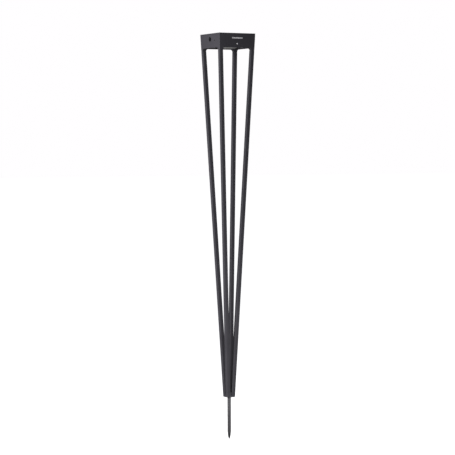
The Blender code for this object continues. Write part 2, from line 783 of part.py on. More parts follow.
def board_components(chip_finish, coil_finish, switch_finish, lamp_finish, holder):
    """What is soldered to the board: chip and coil on top, side switch and status light underneath."""
    low = BOARD_TOP + CLEARANCE
    chip = block((-0.0085, -0.0035, low), (0.0005, 0.0055, low + 0.0016))
    shape("control_chip", chip, chip_finish, holder)
    coil_size = 0.0045
    coil = moved(rod(coil_size, low, low + coil_size, 24), (0.018, -0.006, 0))
    shape("drive_coil", coil, coil_finish, holder)
    high = BOARD_BASE - CLEARANCE
    half_width = 0.0031
    body = block((-BOARD_HALF, BUTTON_OFFSET - half_width, BUTTON_HEIGHT - 0.002),
                 (-BOARD_HALF + 0.006, BUTTON_OFFSET + half_width, high))
    made = shape("push_switch", body, switch_finish, holder)
    stem = rod(0.0012, -OVERLAP, SWITCH_STROKE, SCREW_STEPS)
    outward = Matrix.Rotation(math.radians(-90), 4, "Y")
    add(made, "plunger", moved(stem, (-BOARD_HALF, BUTTON_OFFSET, BUTTON_HEIGHT), outward))
    lamp = block((-0.001, PIPE_PLACE - 0.0006, high - STATUS_LED_HEIGHT), (0.001, PIPE_PLACE + 0.0006, high))
    shape("status_led", lamp, lamp_finish, holder)


def light_pipe(finish, holder):
    """A clear square rod that leads the status light down from the board and out to the front."""
    half = PIPE_HALF
    end = -module_half(LENS_HEIGHT) + CLEARANCE / 3
    top = BOARD_BASE - CLEARANCE - STATUS_LED_HEIGHT - CLEARANCE
    outline = [
        (end, LENS_HEIGHT - half),
        (PIPE_PLACE - half, LENS_HEIGHT - half),
        (PIPE_PLACE + half, LENS_HEIGHT + half),
        (PIPE_PLACE + half, top),
        (PIPE_PLACE - half, top),
        (PIPE_PLACE - half, LENS_HEIGHT + half),
        (end, LENS_HEIGHT + half),
    ]
    bm = loft([[(side, y, z) for y, z in outline] for side in (-half, half)])
    shape("light_pipe", bm, finish, holder, smooth=False)


def leads(red, black, yellow, holder):
    """The wires inside the module, soldered at both ends."""
    gap = 0.0005
    panel = CELLS_BASE - gap
    above = BOARD_TOP + gap
    below = BOARD_BASE - gap
    wire("solar_lead", [
        (-0.012, 0.020, panel),
        (-0.012, 0.020, panel - 0.0015),
        (-0.020, 0.024, panel - 0.0035),
        (-0.031, 0.014, above + 0.0035),
        (-0.032, 0.002, above + 0.0020),
        (-0.032, 0.002, above),
    ], red, holder)
    end = CELL_MIDDLE + CELL_LENGTH / 2
    wire("battery_lead_right", [
        (CELL_PLACE, end + gap, CELL_HEIGHT),
        (CELL_PLACE, end + 0.005, CELL_HEIGHT),
        (CELL_PLACE - 0.003, end + 0.012, CELL_HEIGHT + 0.004),
        (CELL_PLACE - 0.007, end + 0.0165, below - 0.0025),
        (CELL_PLACE - 0.007, end + 0.0165, below),
    ], black, holder)
    wire("battery_lead_rear", [
        (end + gap, CELL_PLACE, CELL_HEIGHT),
        (end + 0.005, CELL_PLACE, CELL_HEIGHT),
        (end + 0.010, CELL_PLACE, CELL_HEIGHT + 0.004),
        (end + 0.0135, CELL_PLACE - 0.0015, below - 0.0025),
        (end + 0.0135, CELL_PLACE - 0.0015, below),
    ], black, holder)
    wire("led_lead", [
        (LEAD_PLACE, 0, WELL_TOP + gap),
        (LEAD_PLACE, 0, WELL_TOP + 0.003),
        (0.013, -0.005, WELL_TOP + 0.007),
        (0.017, -0.010, below - 0.0030),
        (0.017, -0.010, below),
    ], yellow, holder)


# ---------------------------------------------------------------- lamp module: light

def light_engine(metal, board, chip, white, holder):
    """Heat spreader on the well's rim, LED board and chip under it, and the reflector around the light."""
    low = WELL_TOP + CLEARANCE
    high = low + SPREADER_THICKNESS
    made = shape("heat_spreader", rod(LIGHT_RADIUS + WELL_WALL - CLEARANCE, low, high, 48), metal, holder)
    hole = rod(2 * WIRE_RADIUS, low - OVERLAP, high + OVERLAP, SCREW_STEPS)
    cut(made, "lead_hole", moved(hole, (LEAD_PLACE, 0, 0)))
    radius, thickness = LED_BOARD
    shape("led_board", rod(radius, WELL_TOP - thickness, WELL_TOP), board, holder)
    top = WELL_TOP - thickness - CLEARANCE
    radius, thickness = LED_CHIP
    shape("led_chip", rod(radius, top - thickness, top, 24), chip, holder)
    rim = top - 0.0002
    foot = DIFFUSER_TOP + CLEARANCE
    edge = LIGHT_RADIUS - CLEARANCE
    shape("reflector", turned([
        (edge, FLOOR_TOP + 0.002),
        (edge, foot),
        (edge - 0.0012, foot),
        (0.0120, rim - 0.0009),
        (0.0132, rim),
    ], 48, ring=True), white, holder)


def diffuser_parts(opal, rubber, plastic, holder):
    """The opal window, its seal, and the ring that clamps both into the housing's underside."""
    top = DIFFUSER_TOP
    flange = HOUSING_BASE
    seat = LIGHT_RADIUS + SEAL_SEAT - CLEARANCE
    inner = LIGHT_RADIUS - 0.0004
    neck = inner - CLEARANCE
    edge = HOUSING_BASE - 0.0020
    steps = 5
    bulge = []
    for step in range(steps):
        turn = math.radians(90) * step / steps
        bulge.append((neck * math.cos(turn), edge - DIFFUSER_DOME * math.sin(turn)))
    bulge.append((0, edge - DIFFUSER_DOME))
    body = turned([(0, top), (seat, top), (seat, flange), (neck, flange), *bulge], 48)
    shape("diffuser", body, opal, holder)
    seal = tube(seat, LIGHT_RADIUS + OVERLAP, top + CLEARANCE, SEAT_TOP - CLEARANCE, 48)
    shape("diffuser_seal", seal, rubber, holder)
    ring_top = HOUSING_BASE - CLEARANCE
    outer = RING_SCREW_PLACE + 0.0035
    chamfer = 0.0008
    made = shape("diffuser_ring", turned([
        (outer, ring_top),
        (outer, RING_BASE + chamfer),
        (outer - chamfer, RING_BASE),
        (inner + chamfer, RING_BASE),
        (inner, RING_BASE + chamfer),
        (inner, ring_top),
    ], 48, ring=True), plastic, holder)
    cut(made, "screw_holes", joined([
        flat_screw_hole(RING_SCREW, RING_BASE, RING_HEIGHT + OVERLAP, place, upward=True)
        for place in RING_SCREWS
    ]))


# ---------------------------------------------------------------- button

def button_cap(finish, holder):
    """The push button: a face level with the module's side, a flange behind the wall, and a stem."""
    face = -module_half(BUTTON_HEIGHT) + CLEARANCE / 3
    wall = -module_half(BUTTON_HEIGHT) + HOUSING_WALL
    wide = BUTTON_RADIUS + BUTTON_FLANGE
    flange = wall + CLEARANCE + TAPER * wide
    back = flange + 0.001
    stem_end = -BOARD_HALF - SWITCH_STROKE - BUTTON_TRAVEL - CLEARANCE
    edge = 0.0004
    bm = turned([
        (0, face),
        (BUTTON_RADIUS - edge, face),
        (BUTTON_RADIUS, face + edge),
        (BUTTON_RADIUS, flange),
        (wide, flange),
        (wide, back),
        (BUTTON_STEM_RADIUS, back),
        (BUTTON_STEM_RADIUS, stem_end),
        (0, stem_end),
    ])
    shape("button_cap", moved(bm, (0, BUTTON_OFFSET, BUTTON_HEIGHT), ALONG_X), finish, holder)


# ---------------------------------------------------------------- assembly

def build_frame(paint, metal, clear):
    """Everything that stays with the legs."""
    holder = empty("frame", (0, 0, 0))
    head_collar(paint, holder)
    foot_block(paint, holder)
    for name, signs in CORNERS.items():
        leg(f"leg_{name}", signs, paint, holder)
        top = STUB_BASE - CLEARANCE
        hole = HEAD_SCREW[0] + CLEARANCE
        leg_plug(f"head_plug_{name}", signs, top - PLUG_LENGTH, top, HEAD_SCREW_PLACE, hole, metal, holder)
        low = FOOT_HEIGHT + CLEARANCE
        hole = FOOT_SCREW[0] + CLEARANCE
        leg_plug(f"foot_plug_{name}", signs, low, low + PLUG_LENGTH, FOOT_SCREW_PLACE, hole, metal, holder)
        place = [sign * HEAD_SCREW_PLACE for sign in signs]
        flat_screw(f"head_screw_{name}", HEAD_SCREW, PAD_TOP, HEAD_SCREW_LENGTH, place, holder, metal)
        place = [sign * FOOT_SCREW_PLACE for sign in signs]
        flat_screw(f"foot_screw_{name}", FOOT_SCREW, 0, FOOT_SCREW_LENGTH, place, holder, metal, upward=True)
    status_lens(clear, holder)
    lock_screw(metal, holder)
    return holder


def build_module(frame_holder, paint, metal, clear):
    """Everything that lifts out with the lamp module, apart from the button."""
    black = material("black_plastic", (0.018, 0.018, 0.020), 0.55)
    rubber = material("rubber", (0.02, 0.02, 0.02), 0.8)
    board = material("circuit_board", (0.02, 0.10, 0.05), 0.45)
    chip = material("chip_black", (0.02, 0.02, 0.022), 0.5)
    aluminium = material("aluminium", (0.75, 0.75, 0.77), 0.4, 1.0)
    white = material("white_plastic", (0.88, 0.88, 0.86), 0.35)
    holder = empty("module", (0, 0, HOUSING_BASE), frame_holder)
    top_bezel(paint, holder)
    solar_panel(clear, material("solar_cells", (0.012, 0.014, 0.030), 0.3), holder)
    bezel_gasket(rubber, holder)
    module_housing(white, holder)
    for name, signs in CORNERS.items():
        place = [sign * POST_PLACE for sign in signs]
        cap_screw(f"bezel_screw_{name}", place, holder, metal)
    wrap = material("battery_wrap", (0.05, 0.16, 0.42), 0.35)
    for side, turn in (("right", Matrix.Identity(4)), ("rear", TO_REAR)):
        battery_cradle(f"battery_cradle_{side}", turn, black, holder)
        battery_cell(f"battery_cell_{side}", turn, wrap, holder)
    control_board(board, holder)
    lamp = material("status_lamp", (0.80, 0.90, 0.75), 0.3)
    board_components(chip, chip, metal, lamp, holder)
    light_pipe(clear, holder)
    light_engine(aluminium, white, material("led_phosphor", (0.90, 0.70, 0.10), 0.5), white, holder)
    diffuser_parts(material("opal", (0.90, 0.90, 0.86), 0.35, transmission=0.3), rubber, black, holder)
    for index, place in enumerate(RING_SCREWS):
        name = f"ring_screw_{index + 1}"
        flat_screw(name, RING_SCREW, RING_BASE, RING_SCREW_LENGTH, place, holder, metal, upward=True)
    red = material("wire_red", (0.45, 0.03, 0.02), 0.5)
    yellow = material("wire_yellow", (0.60, 0.45, 0.05), 0.5)
    leads(red, chip, yellow, holder)
    return holder


def main():
    for old in list(bpy.data.objects):
        bpy.data.objects.remove(old)
    paint = material("anthracite_paint", (0.052, 0.050, 0.060), 0.6)
    metal = material("stainless_steel", (0.55, 0.55, 0.56), 0.35, 1.0)
    clear = material("clear", (0.92, 0.95, 0.95), 0.05, transmission=1.0)
    frame_holder = build_frame(paint, metal, clear)
    module_holder = build_module(frame_holder, paint, metal, clear)
    axis_start = (-module_half(BUTTON_HEIGHT), BUTTON_OFFSET, BUTTON_HEIGHT)
    button_holder = empty("button", axis_start, module_holder)
    button_cap(material("button_rubber", (0.012, 0.012, 0.013), 0.6), button_holder)
    washer_holder = empty("washer", (0, 0, 0), frame_holder)
    spike_washer(metal, washer_holder)
    spike_holder = empty("spike", (0, 0, 0), washer_holder)
    ground_spike(metal, spike_holder)


main()
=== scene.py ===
"""Looks for the solar garden torch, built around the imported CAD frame.

Every length is in metres, and every place comes from the boxes of the CAD nodes. Z is up, the front is -Y,
and the push button is on the -X side of the head.
"""
import json
import math

import bmesh
import bpy
from mathutils import Matrix, Vector


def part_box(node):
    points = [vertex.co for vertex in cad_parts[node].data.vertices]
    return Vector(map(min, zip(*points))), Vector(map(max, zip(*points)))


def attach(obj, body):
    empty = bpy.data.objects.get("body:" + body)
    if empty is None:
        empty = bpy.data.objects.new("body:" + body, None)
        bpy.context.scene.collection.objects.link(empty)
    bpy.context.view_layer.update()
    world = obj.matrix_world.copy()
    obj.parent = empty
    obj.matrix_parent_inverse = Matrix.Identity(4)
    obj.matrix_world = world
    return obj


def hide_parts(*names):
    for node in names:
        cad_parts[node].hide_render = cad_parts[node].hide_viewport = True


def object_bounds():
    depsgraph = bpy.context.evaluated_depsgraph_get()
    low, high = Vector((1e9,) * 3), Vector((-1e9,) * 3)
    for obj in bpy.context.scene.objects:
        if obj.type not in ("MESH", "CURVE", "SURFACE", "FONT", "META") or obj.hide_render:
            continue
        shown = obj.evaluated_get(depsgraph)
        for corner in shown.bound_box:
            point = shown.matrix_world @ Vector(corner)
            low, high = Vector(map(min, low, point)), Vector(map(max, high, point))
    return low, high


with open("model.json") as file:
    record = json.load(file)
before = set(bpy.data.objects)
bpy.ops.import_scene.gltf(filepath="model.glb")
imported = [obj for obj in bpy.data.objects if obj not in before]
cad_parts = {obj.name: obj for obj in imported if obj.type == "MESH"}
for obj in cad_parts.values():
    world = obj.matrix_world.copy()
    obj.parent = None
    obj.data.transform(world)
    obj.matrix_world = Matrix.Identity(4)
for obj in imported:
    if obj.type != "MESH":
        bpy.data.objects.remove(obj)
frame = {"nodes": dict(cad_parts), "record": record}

CAD_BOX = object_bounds()

# Camera: a long lens, from the front left and a little above the middle
VIEW_AZIMUTH = -28.5
VIEW_ELEVATION = 2.27
VIEW_DISTANCE = 5.7
VIEW_HEIGHT = 0.5241
VIEW_SIDESTEP = -0.0029
VIEW_ROLL = -0.235
LENS_LENGTH = 146.3

# The joints' drawn gap, and how far one shape reaches into another that is cut or joined
GAP = 0.0003
REACH = 0.0006

# Walls, edges and holes
COLLAR_WALL = 0.0025
HOUSING_WALL = 0.002
EDGE_RADIUS = 0.0008
STUB_LENGTH = 0.007
BUTTON_RADIUS = 0.0071
BUTTON_HOLE_RADIUS = 0.0074
BUTTON_WELL_RADIUS = 0.0079
BUTTON_STEM_RADIUS = 0.0018
LENS_HOLE_RADIUS = 0.0027
LIGHT_RADIUS = 0.029

# Stud, its socket and its thread
STUD_RADIUS = 0.004
STUD_BORE_RADIUS = 0.0043
THREAD_PITCH = 0.00125
SPIKE_POINT = 0.021

# Screws, each with the radius of its thread and of its head
HEAD_SCREW = (0.0020, 0.0034)
FOOT_SCREW = (0.0015, 0.0028)
RING_SCREW = (0.0012, 0.0022)
BEZEL_SCREW_THREAD = 0.0015

SHARP_ANGLE = math.radians(32)
UPSIDE_DOWN = Matrix.Rotation(math.pi, 4, "X")
ALONG_X = Matrix.Rotation(math.radians(90), 4, "Y")
ALONG_Y = Matrix.Rotation(math.radians(-90), 4, "X")

CORNERS = {
    "front_left": (-1, -1),
    "front_right": (1, -1),
    "rear_left": (-1, 1),
    "rear_right": (1, 1),
}


# ---------------------------------------------------------------- sizes read from the frame

COLLAR_LOW, COLLAR_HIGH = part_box("head_collar")
FOOT_LOW, FOOT_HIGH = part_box("foot_block")
BEZEL_LOW, BEZEL_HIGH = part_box("top_bezel")
HOUSING_LOW, HOUSING_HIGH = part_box("module_housing")
GLASS_LOW, GLASS_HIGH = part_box("solar_glass")
CELLS_LOW, CELLS_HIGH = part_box("solar_cells")
BUTTON_LOW, BUTTON_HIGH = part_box("button_cap")
LENS_LOW, LENS_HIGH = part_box("status_lens")
LOCK_LOW, LOCK_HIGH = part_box("lock_screw")
SPIKE_LOW, SPIKE_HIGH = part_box("ground_spike")
WASHER_LOW, WASHER_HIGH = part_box("spike_washer")
RING_LOW, RING_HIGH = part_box("diffuser_ring")
WINDOW_LOW, WINDOW_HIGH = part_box("diffuser")
LEG_LOW, LEG_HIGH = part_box("leg_front_right")

TAPER = (COLLAR_HIGH.x - FOOT_HIGH.x) / (COLLAR_HIGH.z - FOOT_HIGH.z)


def face(height):
    """Distance of the torch's outer faces from its axis at this height."""
    return FOOT_HIGH.x + TAPER * (height - FOOT_HIGH.z)


LEG_SIDE = face(LEG_LOW.z) - LEG_LOW.x
HEAD_BASE = COLLAR_LOW.z + STUB_LENGTH
PAD_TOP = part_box("head_screw_front_left")[1].z
HEAD_SCREW_PLACE = sum(corner.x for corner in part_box("head_screw_front_right")) / 2
FOOT_SCREW_PLACE = sum(corner.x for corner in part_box("foot_screw_front_right")) / 2
BEZEL_SCREW_PLACE = sum(corner.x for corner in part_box("bezel_screw_front_right")) / 2
FACE_TILT = math.atan(TAPER)


# ---------------------------------------------------------------- shapes

def square_ring(half, height, radius, centre=(0.0, 0.0), steps=6):
    """Points of a horizontal square with rounded corners, anticlockwise."""
    points = []
    for corner in range(4):
        start = math.radians(90 * corner)
        diagonal = start + math.radians(45)
        middle_x = centre[0] + math.copysign(half - radius, math.cos(diagonal))
        middle_y = centre[1] + math.copysign(half - radius, math.sin(diagonal))
        for step in range(steps + 1):
            turn = start + math.radians(90) * step / steps
            points.append((middle_x + radius * math.cos(turn), middle_y + radius * math.sin(turn), height))
    return points


def loft(rings, closed=False):
    """A mesh through rings of equal length: a solid with two caps, or a closed frame."""
    bm = bmesh.new()
    loops = [[bm.verts.new(point) for point in ring] for ring in rings]
    pairs = list(zip(loops, loops[1:]))
    if closed:
        pairs.append((loops[-1], loops[0]))
    else:
        bm.faces.new(loops[0][::-1])
        bm.faces.new(loops[-1])
    for lower, upper in pairs:
        for index, vertex in enumerate(lower):
            after = (index + 1) % len(lower)
            bm.faces.new((vertex, lower[after], upper[after], upper[index]))
    bmesh.ops.recalc_face_normals(bm, faces=bm.faces)
    return bm


def turned(profile, steps=64, ring=False):
    """A mesh turned about Z from (radius, height) points. A ring's profile closes on itself."""
    bm = bmesh.new()
    verts = [bm.verts.new((radius, 0.0, height)) for radius, height in profile]
    edges = [bm.edges.new(pair) for pair in zip(verts, verts[1:])]
    if ring:
        edges.append(bm.edges.new((verts[-1], verts[0])))
    bmesh.ops.spin(bm, geom=verts + edges, cent=(0, 0, 0), axis=(0, 0, 1), angle=math.tau, steps=steps)
    bmesh.ops.remove_doubles(bm, verts=bm.verts, dist=1e-6)
    bmesh.ops.recalc_face_normals(bm, faces=bm.faces)
    return bm


def rod(radius, low, high, steps=64):
    """An upright round bar between two heights."""
    return turned([(0, high), (radius, high), (radius, low), (0, low)], steps)


def block(low, high):
    """A box between two corners."""
    outline = [(low[0], low[1]), (high[0], low[1]), (high[0], high[1]), (low[0], high[1])]
    return loft([[(x, y, low[2]) for x, y in outline], [(x, y, high[2]) for x, y in outline]])


def moved(bm, offset=(0.0, 0.0, 0.0), turn=Matrix.Identity(4)):
    """The same mesh, turned about the origin and then shifted."""
    bmesh.ops.transform(bm, matrix=Matrix.Translation(offset) @ turn, verts=bm.verts)
    return bm


def joined(parts):
    """Several meshes in one."""
    whole = bmesh.new()
    for part in parts:
        mesh = bpy.data.meshes.new("joined")
        part.to_mesh(mesh)
        part.free()
        whole.from_mesh(mesh)
        bpy.data.meshes.remove(mesh)
    return whole


# ---------------------------------------------------------------- pieces

def piece(name, bm, finish, body, replaces=()):
    """A named visible piece that rides on a CAD body."""
    mesh = bpy.data.meshes.new(name)
    bm.to_mesh(mesh)
    bm.free()
    mesh.materials.append(finish)
    mesh.shade_smooth()
    mesh.set_sharp_from_angle(angle=SHARP_ANGLE)
    made = bpy.data.objects.new(name, mesh)
    bpy.context.scene.collection.objects.link(made)
    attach(made, body)
    if replaces:
        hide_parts(*replaces)
    return made


def settle(target):
    """Makes an object's modifiers permanent."""
    graph = bpy.context.evaluated_depsgraph_get()
    mesh = bpy.data.meshes.new_from_object(target.evaluated_get(graph))
    target.modifiers.clear()
    old = target.data
    target.data = mesh
    bpy.data.meshes.remove(old)


def carve(target, bm, operation="DIFFERENCE"):
    """Cuts a mesh out of an object at once, or joins it on."""
    mesh = bpy.data.meshes.new("tool")
    bm.to_mesh(mesh)
    bm.free()
    tool = bpy.data.objects.new("tool", mesh)
    bpy.context.scene.collection.objects.link(tool)
    modifier = target.modifiers.new("carve", "BOOLEAN")
    modifier.operation = operation
    modifier.solver = "EXACT"
    modifier.object = tool
    settle(target)
    bpy.data.objects.remove(tool)
    bpy.data.meshes.remove(mesh)


def round_edges(target, width, segments=3, angle=28):
    """Rolls every sharp edge over by a small radius."""
    target.data.shade_smooth()
    modifier = target.modifiers.new("edges", "BEVEL")
    modifier.width = width
    modifier.segments = segments
    modifier.limit_method = "ANGLE"
    modifier.angle_limit = math.radians(angle)
    modifier.harden_normals = True
    modifier.miter_outer = "MITER_ARC"
    modifier.use_clamp_overlap = True
    settle(target)


# ---------------------------------------------------------------- node helpers

class Finish:
    """A material in the making: its node tree, its Principled shader and short ways to add nodes."""

    def __init__(self, name):
        self.material = bpy.data.materials.new(name)
        self.material.use_nodes = True
        self.tree = self.material.node_tree
        self.shader = self.tree.nodes["Principled BSDF"]
        self.place = self.node("ShaderNodeTexCoord").outputs["Object"]

    def node(self, kind, **settings):
        made = self.tree.nodes.new(kind)
        for key, value in settings.items():
            setattr(made, key, value)
        return made

    def link(self, source, target):
        self.tree.links.new(source, target)

    def put(self, socket, value):
        """Sets a shader socket to a constant, or links an output to it."""
        target = self.shader.inputs[socket]
        if isinstance(value, bpy.types.NodeSocket):
            self.link(value, target)
        else:
            target.default_value = value

    def stretched(self, x, y, z):
        """The piece's own coordinates, scaled along each axis."""
        mapping = self.node("ShaderNodeMapping")
        mapping.inputs["Scale"].default_value = (x, y, z)
        self.link(self.place, mapping.inputs["Vector"])
        return mapping.outputs["Vector"]

    def noise(self, scale, detail=2.0, roughness=0.5, vector=None):
        made = self.node("ShaderNodeTexNoise")
        made.inputs["Scale"].default_value = scale
        made.inputs["Detail"].default_value = detail
        made.inputs["Roughness"].default_value = roughness
        self.link(vector or self.place, made.inputs["Vector"])
        return made.outputs["Fac"]

    def spread(self, value, low, high, to_low=0.0, to_high=1.0):
        """Maps a value's range onto another one, and stops at its ends."""
        made = self.node("ShaderNodeMapRange")
        made.inputs["From Min"].default_value = low
        made.inputs["From Max"].default_value = high
        made.inputs["To Min"].default_value = to_low
        made.inputs["To Max"].default_value = to_high
        self.link(value, made.inputs["Value"])
        return made.outputs["Result"]

    def maths(self, operation, first, second):
        made = self.node("ShaderNodeMath", operation=operation)
        for socket, value in zip(made.inputs, (first, second)):
            if isinstance(value, bpy.types.NodeSocket):
                self.link(value, socket)
            else:
                socket.default_value = value
        return made.outputs["Value"]

    def blend(self, factor, first, second):
        """A colour between two colours."""
        made = self.node("ShaderNodeMix", data_type="RGBA")
        sockets = [made.inputs[0], made.inputs[6], made.inputs[7]]
        for socket, value in zip(sockets, (factor, first, second)):
            if isinstance(value, bpy.types.NodeSocket):
                self.link(value, socket)
            elif isinstance(value, (int, float)):
                socket.default_value = value
            else:
                socket.default_value = (*value, 1.0)
        return made.outputs[2]

    def edges(self, radius, low=0.02, high=0.35):
        """How close a point is to an edge, from the difference of a rounded normal and the real one."""
        rounded = self.node("ShaderNodeBevel", samples=6)
        rounded.inputs["Radius"].default_value = radius
        normal = self.node("ShaderNodeNewGeometry").outputs["Normal"]
        product = self.node("ShaderNodeVectorMath", operation="DOT_PRODUCT")
        self.link(rounded.outputs["Normal"], product.inputs[0])
        self.link(normal, product.inputs[1])
        turned_away = self.maths("SUBTRACT", 1.0, product.outputs["Value"])
        return self.spread(turned_away, low, high)

    def upward(self):
        """1 on faces that look up, 0 on the others."""
        parts = self.node("ShaderNodeSeparateXYZ")
        self.link(self.node("ShaderNodeNewGeometry").outputs["Normal"], parts.inputs["Vector"])
        return self.spread(parts.outputs["Z"], 0.55, 0.95)

    def bump(self, height, strength, distance):
        made = self.node("ShaderNodeBump")
        made.inputs["Strength"].default_value = strength
        made.inputs["Distance"].default_value = distance
        self.link(height, made.inputs["Height"])
        self.link(made.outputs["Normal"], self.shader.inputs["Normal"])


# ---------------------------------------------------------------- finishes

def powder_coat():
    """Fine matt anthracite powder coat: pebbled skin, faint clouding, thin and paler along the edges."""
    made = Finish("anthracite_powder_coat")
    cloud = made.noise(9.0, 3.0)
    grain = made.noise(1500.0, 3.0, 0.65)
    colour = made.blend(made.spread(cloud, 0.35, 0.65), (0.041, 0.039, 0.047), (0.051, 0.049, 0.058))
    colour = made.blend(made.spread(grain, 0.52, 0.75, 0.0, 0.5), colour, (0.080, 0.078, 0.088))
    broken = made.noise(260.0, 4.0, 0.7)
    worn = made.maths("MULTIPLY", made.edges(0.0012), made.spread(broken, 0.42, 0.62, 0.15, 0.8))
    colour = made.blend(worn, colour, (0.100, 0.098, 0.105))
    settled = made.spread(made.noise(45.0, 5.0, 0.7), 0.35, 0.7, 0.05, 0.3)
    dust = made.maths("MULTIPLY", made.upward(), settled)
    colour = made.blend(dust, colour, (0.120, 0.115, 0.105))
    made.put("Base Color", colour)
    made.put("Roughness", made.spread(made.noise(700.0, 2.0), 0.3, 0.7, 0.50, 0.66))
    made.put("Specular IOR Level", 0.45)
    pebbles = made.maths("ADD", made.noise(2400.0, 1.0), made.maths("MULTIPLY", grain, 0.6))
    made.bump(pebbles, 0.35, 0.00012)
    return made.material


def turned_steel(name, dark, light, roughness=(0.30, 0.46), rim=1.0):
    """Bright metal with fine tool marks around its axis, scuffs and slightly duller patches."""
    made = Finish(name)
    rings = made.noise(1.0, 3.0, 0.6, made.stretched(120.0, 120.0, 5200.0))
    patches = made.noise(140.0, 4.0, 0.6)
    colour = made.blend(made.spread(rings, 0.35, 0.65), dark, light)
    colour = made.blend(made.spread(patches, 0.45, 0.75, 0.0, 0.45), colour, [0.75 * part for part in dark])
    worn = made.maths("MULTIPLY", made.edges(0.0008), 0.5)
    colour = made.blend(worn, colour, [min(1.0, 1.25 * part) for part in light])
    made.put("Base Color", colour)
    made.put("Metallic", 1.0)
    made.put("Specular Tint", (rim, rim, rim, 1.0))
    made.put("Roughness", made.spread(patches, 0.3, 0.7, *roughness))
    made.bump(rings, 0.20, 0.00005)
    return made.material


def moulded_plastic(name, dark, light, roughness=(0.42, 0.60), edge=(0.06, 0.06, 0.062)):
    """Injection-moulded plastic with a fine spark-eroded texture."""
    made = Finish(name)
    sparks = made.noise(1900.0, 3.0, 0.7)
    cloud = made.noise(30.0, 3.0)
    made.put("Base Color", made.blend(
        made.maths("MULTIPLY", made.edges(0.0008), 0.55),
        made.blend(made.spread(cloud, 0.35, 0.65), dark, light), edge))
    made.put("Roughness", made.spread(sparks, 0.3, 0.7, *roughness))
    made.bump(sparks, 0.30, 0.00008)
    return made.material


def silicone_darkened_as_painted_shade():
    """Matt black silicone with a faint bloom, coloured far darker than real rubber as painted shade for the
    shadow in the button's recess.
    """
    made = Finish("black_silicone_and_painted_shade")
    bloom = made.noise(220.0, 5.0, 0.7)
    # Base colour set far below real black rubber: painted shade for the button's recess. The paler bloom
    # patches are the rubber's own.
    made.put("Base Color", made.blend(
        made.spread(bloom, 0.4, 0.75), (0.002, 0.002, 0.0025), (0.006, 0.006, 0.0065)))
    made.put("Roughness", made.spread(bloom, 0.3, 0.7, 0.75, 0.9))
    made.put("Specular IOR Level", 0.05)
    made.bump(made.noise(1600.0, 2.0), 0.20, 0.00006)
    return made.material


def clear_cover(name, tint, roughness=(0.02, 0.09)):
    """Clear glass or acrylic with a little haze and dust."""
    made = Finish(name)
    haze = made.noise(60.0, 5.0, 0.7)
    dull = [0.92 * part for part in tint]
    made.put("Base Color", made.blend(made.spread(haze, 0.45, 0.8, 0.0, 0.5), tint, dull))
    made.put("Roughness", made.spread(haze, 0.4, 0.8, *roughness))
    made.put("Transmission Weight", 1.0)
    made.put("IOR", 1.49)
    made.bump(made.noise(90.0, 2.0), 0.03, 0.00003)
    return made.material


def opal_plastic(name, tint):
    """Milky diffuser plastic that lets some light through."""
    made = Finish(name)
    milk = made.noise(400.0, 3.0, 0.6)
    dull = [0.94 * part for part in tint]
    made.put("Base Color", made.blend(made.spread(milk, 0.35, 0.65), tint, dull))
    made.put("Roughness", made.spread(milk, 0.3, 0.7, 0.30, 0.42))
    made.put("Subsurface Weight", 0.5)
    made.put("Subsurface Radius", (0.002, 0.002, 0.0018))
    made.put("Subsurface Scale", 1.0)
    made.bump(milk, 0.12, 0.00005)
    return made.material


def plain_print():
    """The pale printed stripe: a thin ink with a slight grain."""
    made = Finish("pale_print")
    grain = made.noise(2600.0, 3.0, 0.6)
    made.put("Base Color", made.blend(
        made.spread(grain, 0.35, 0.65), (0.66, 0.66, 0.68), (0.76, 0.76, 0.78)))
    made.put("Roughness", made.spread(grain, 0.3, 0.7, 0.42, 0.58))
    made.bump(grain, 0.15, 0.00004)
    return made.material


def cell_silicon():
    """Dark blue-black silicon with thin silver fingers."""
    made = Finish("cell_silicon")
    parts = made.node("ShaderNodeSeparateXYZ")
    made.link(made.place, parts.inputs["Vector"])
    pitch = 0.0018
    phase = made.maths("FRACT", made.maths("DIVIDE", parts.outputs["X"], pitch), 0.0)
    finger = made.spread(made.maths("ABSOLUTE", made.maths("SUBTRACT", phase, 0.5), 0.0), 0.462, 0.475)
    shade = made.noise(70.0, 4.0, 0.6)
    silicon = made.blend(made.spread(shade, 0.35, 0.65), (0.006, 0.008, 0.020), (0.012, 0.016, 0.038))
    made.put("Base Color", made.blend(made.maths("MULTIPLY", finger, 0.55), silicon, (0.34, 0.35, 0.38)))
    made.put("Roughness", made.spread(shade, 0.3, 0.7, 0.22, 0.34))
    made.put("Coat Weight", 0.4)
    made.put("Coat Roughness", 0.08)
    made.bump(made.noise(3000.0, 2.0), 0.08, 0.00003)
    return made.material


def circuit_resin():
    """Green solder resist over faint copper tracks."""
    made = Finish("green_solder_resist")
    tracks = made.node("ShaderNodeTexBrick")
    made.link(made.stretched(160.0, 160.0, 160.0), tracks.inputs["Vector"])
    tracks.inputs["Scale"].default_value = 1.0
    tracks.inputs["Mortar Size"].default_value = 0.06
    shade = made.noise(300.0, 3.0)
    resist = made.blend(shade, (0.010, 0.075, 0.035), (0.018, 0.110, 0.050))
    copper = made.maths("MULTIPLY", tracks.outputs["Fac"], 0.45)
    made.put("Base Color", made.blend(copper, resist, (0.05, 0.20, 0.09)))
    made.put("Roughness", made.spread(shade, 0.3, 0.7, 0.30, 0.42))
    made.bump(tracks.outputs["Fac"], 0.25, 0.00005)
    return made.material


def speckled(name, dark, light, roughness=(0.35, 0.5), metallic=0.0, scale=600.0):
    """A plain material with fine natural variation, for the small inner parts."""
    made = Finish(name)
    grain = made.noise(scale, 4.0, 0.65)
    made.put("Base Color", made.blend(made.spread(grain, 0.35, 0.65), dark, light))
    made.put("Metallic", metallic)
    made.put("Roughness", made.spread(grain, 0.3, 0.7, *roughness))
    made.bump(grain, 0.15, 0.00005)
    return made.material


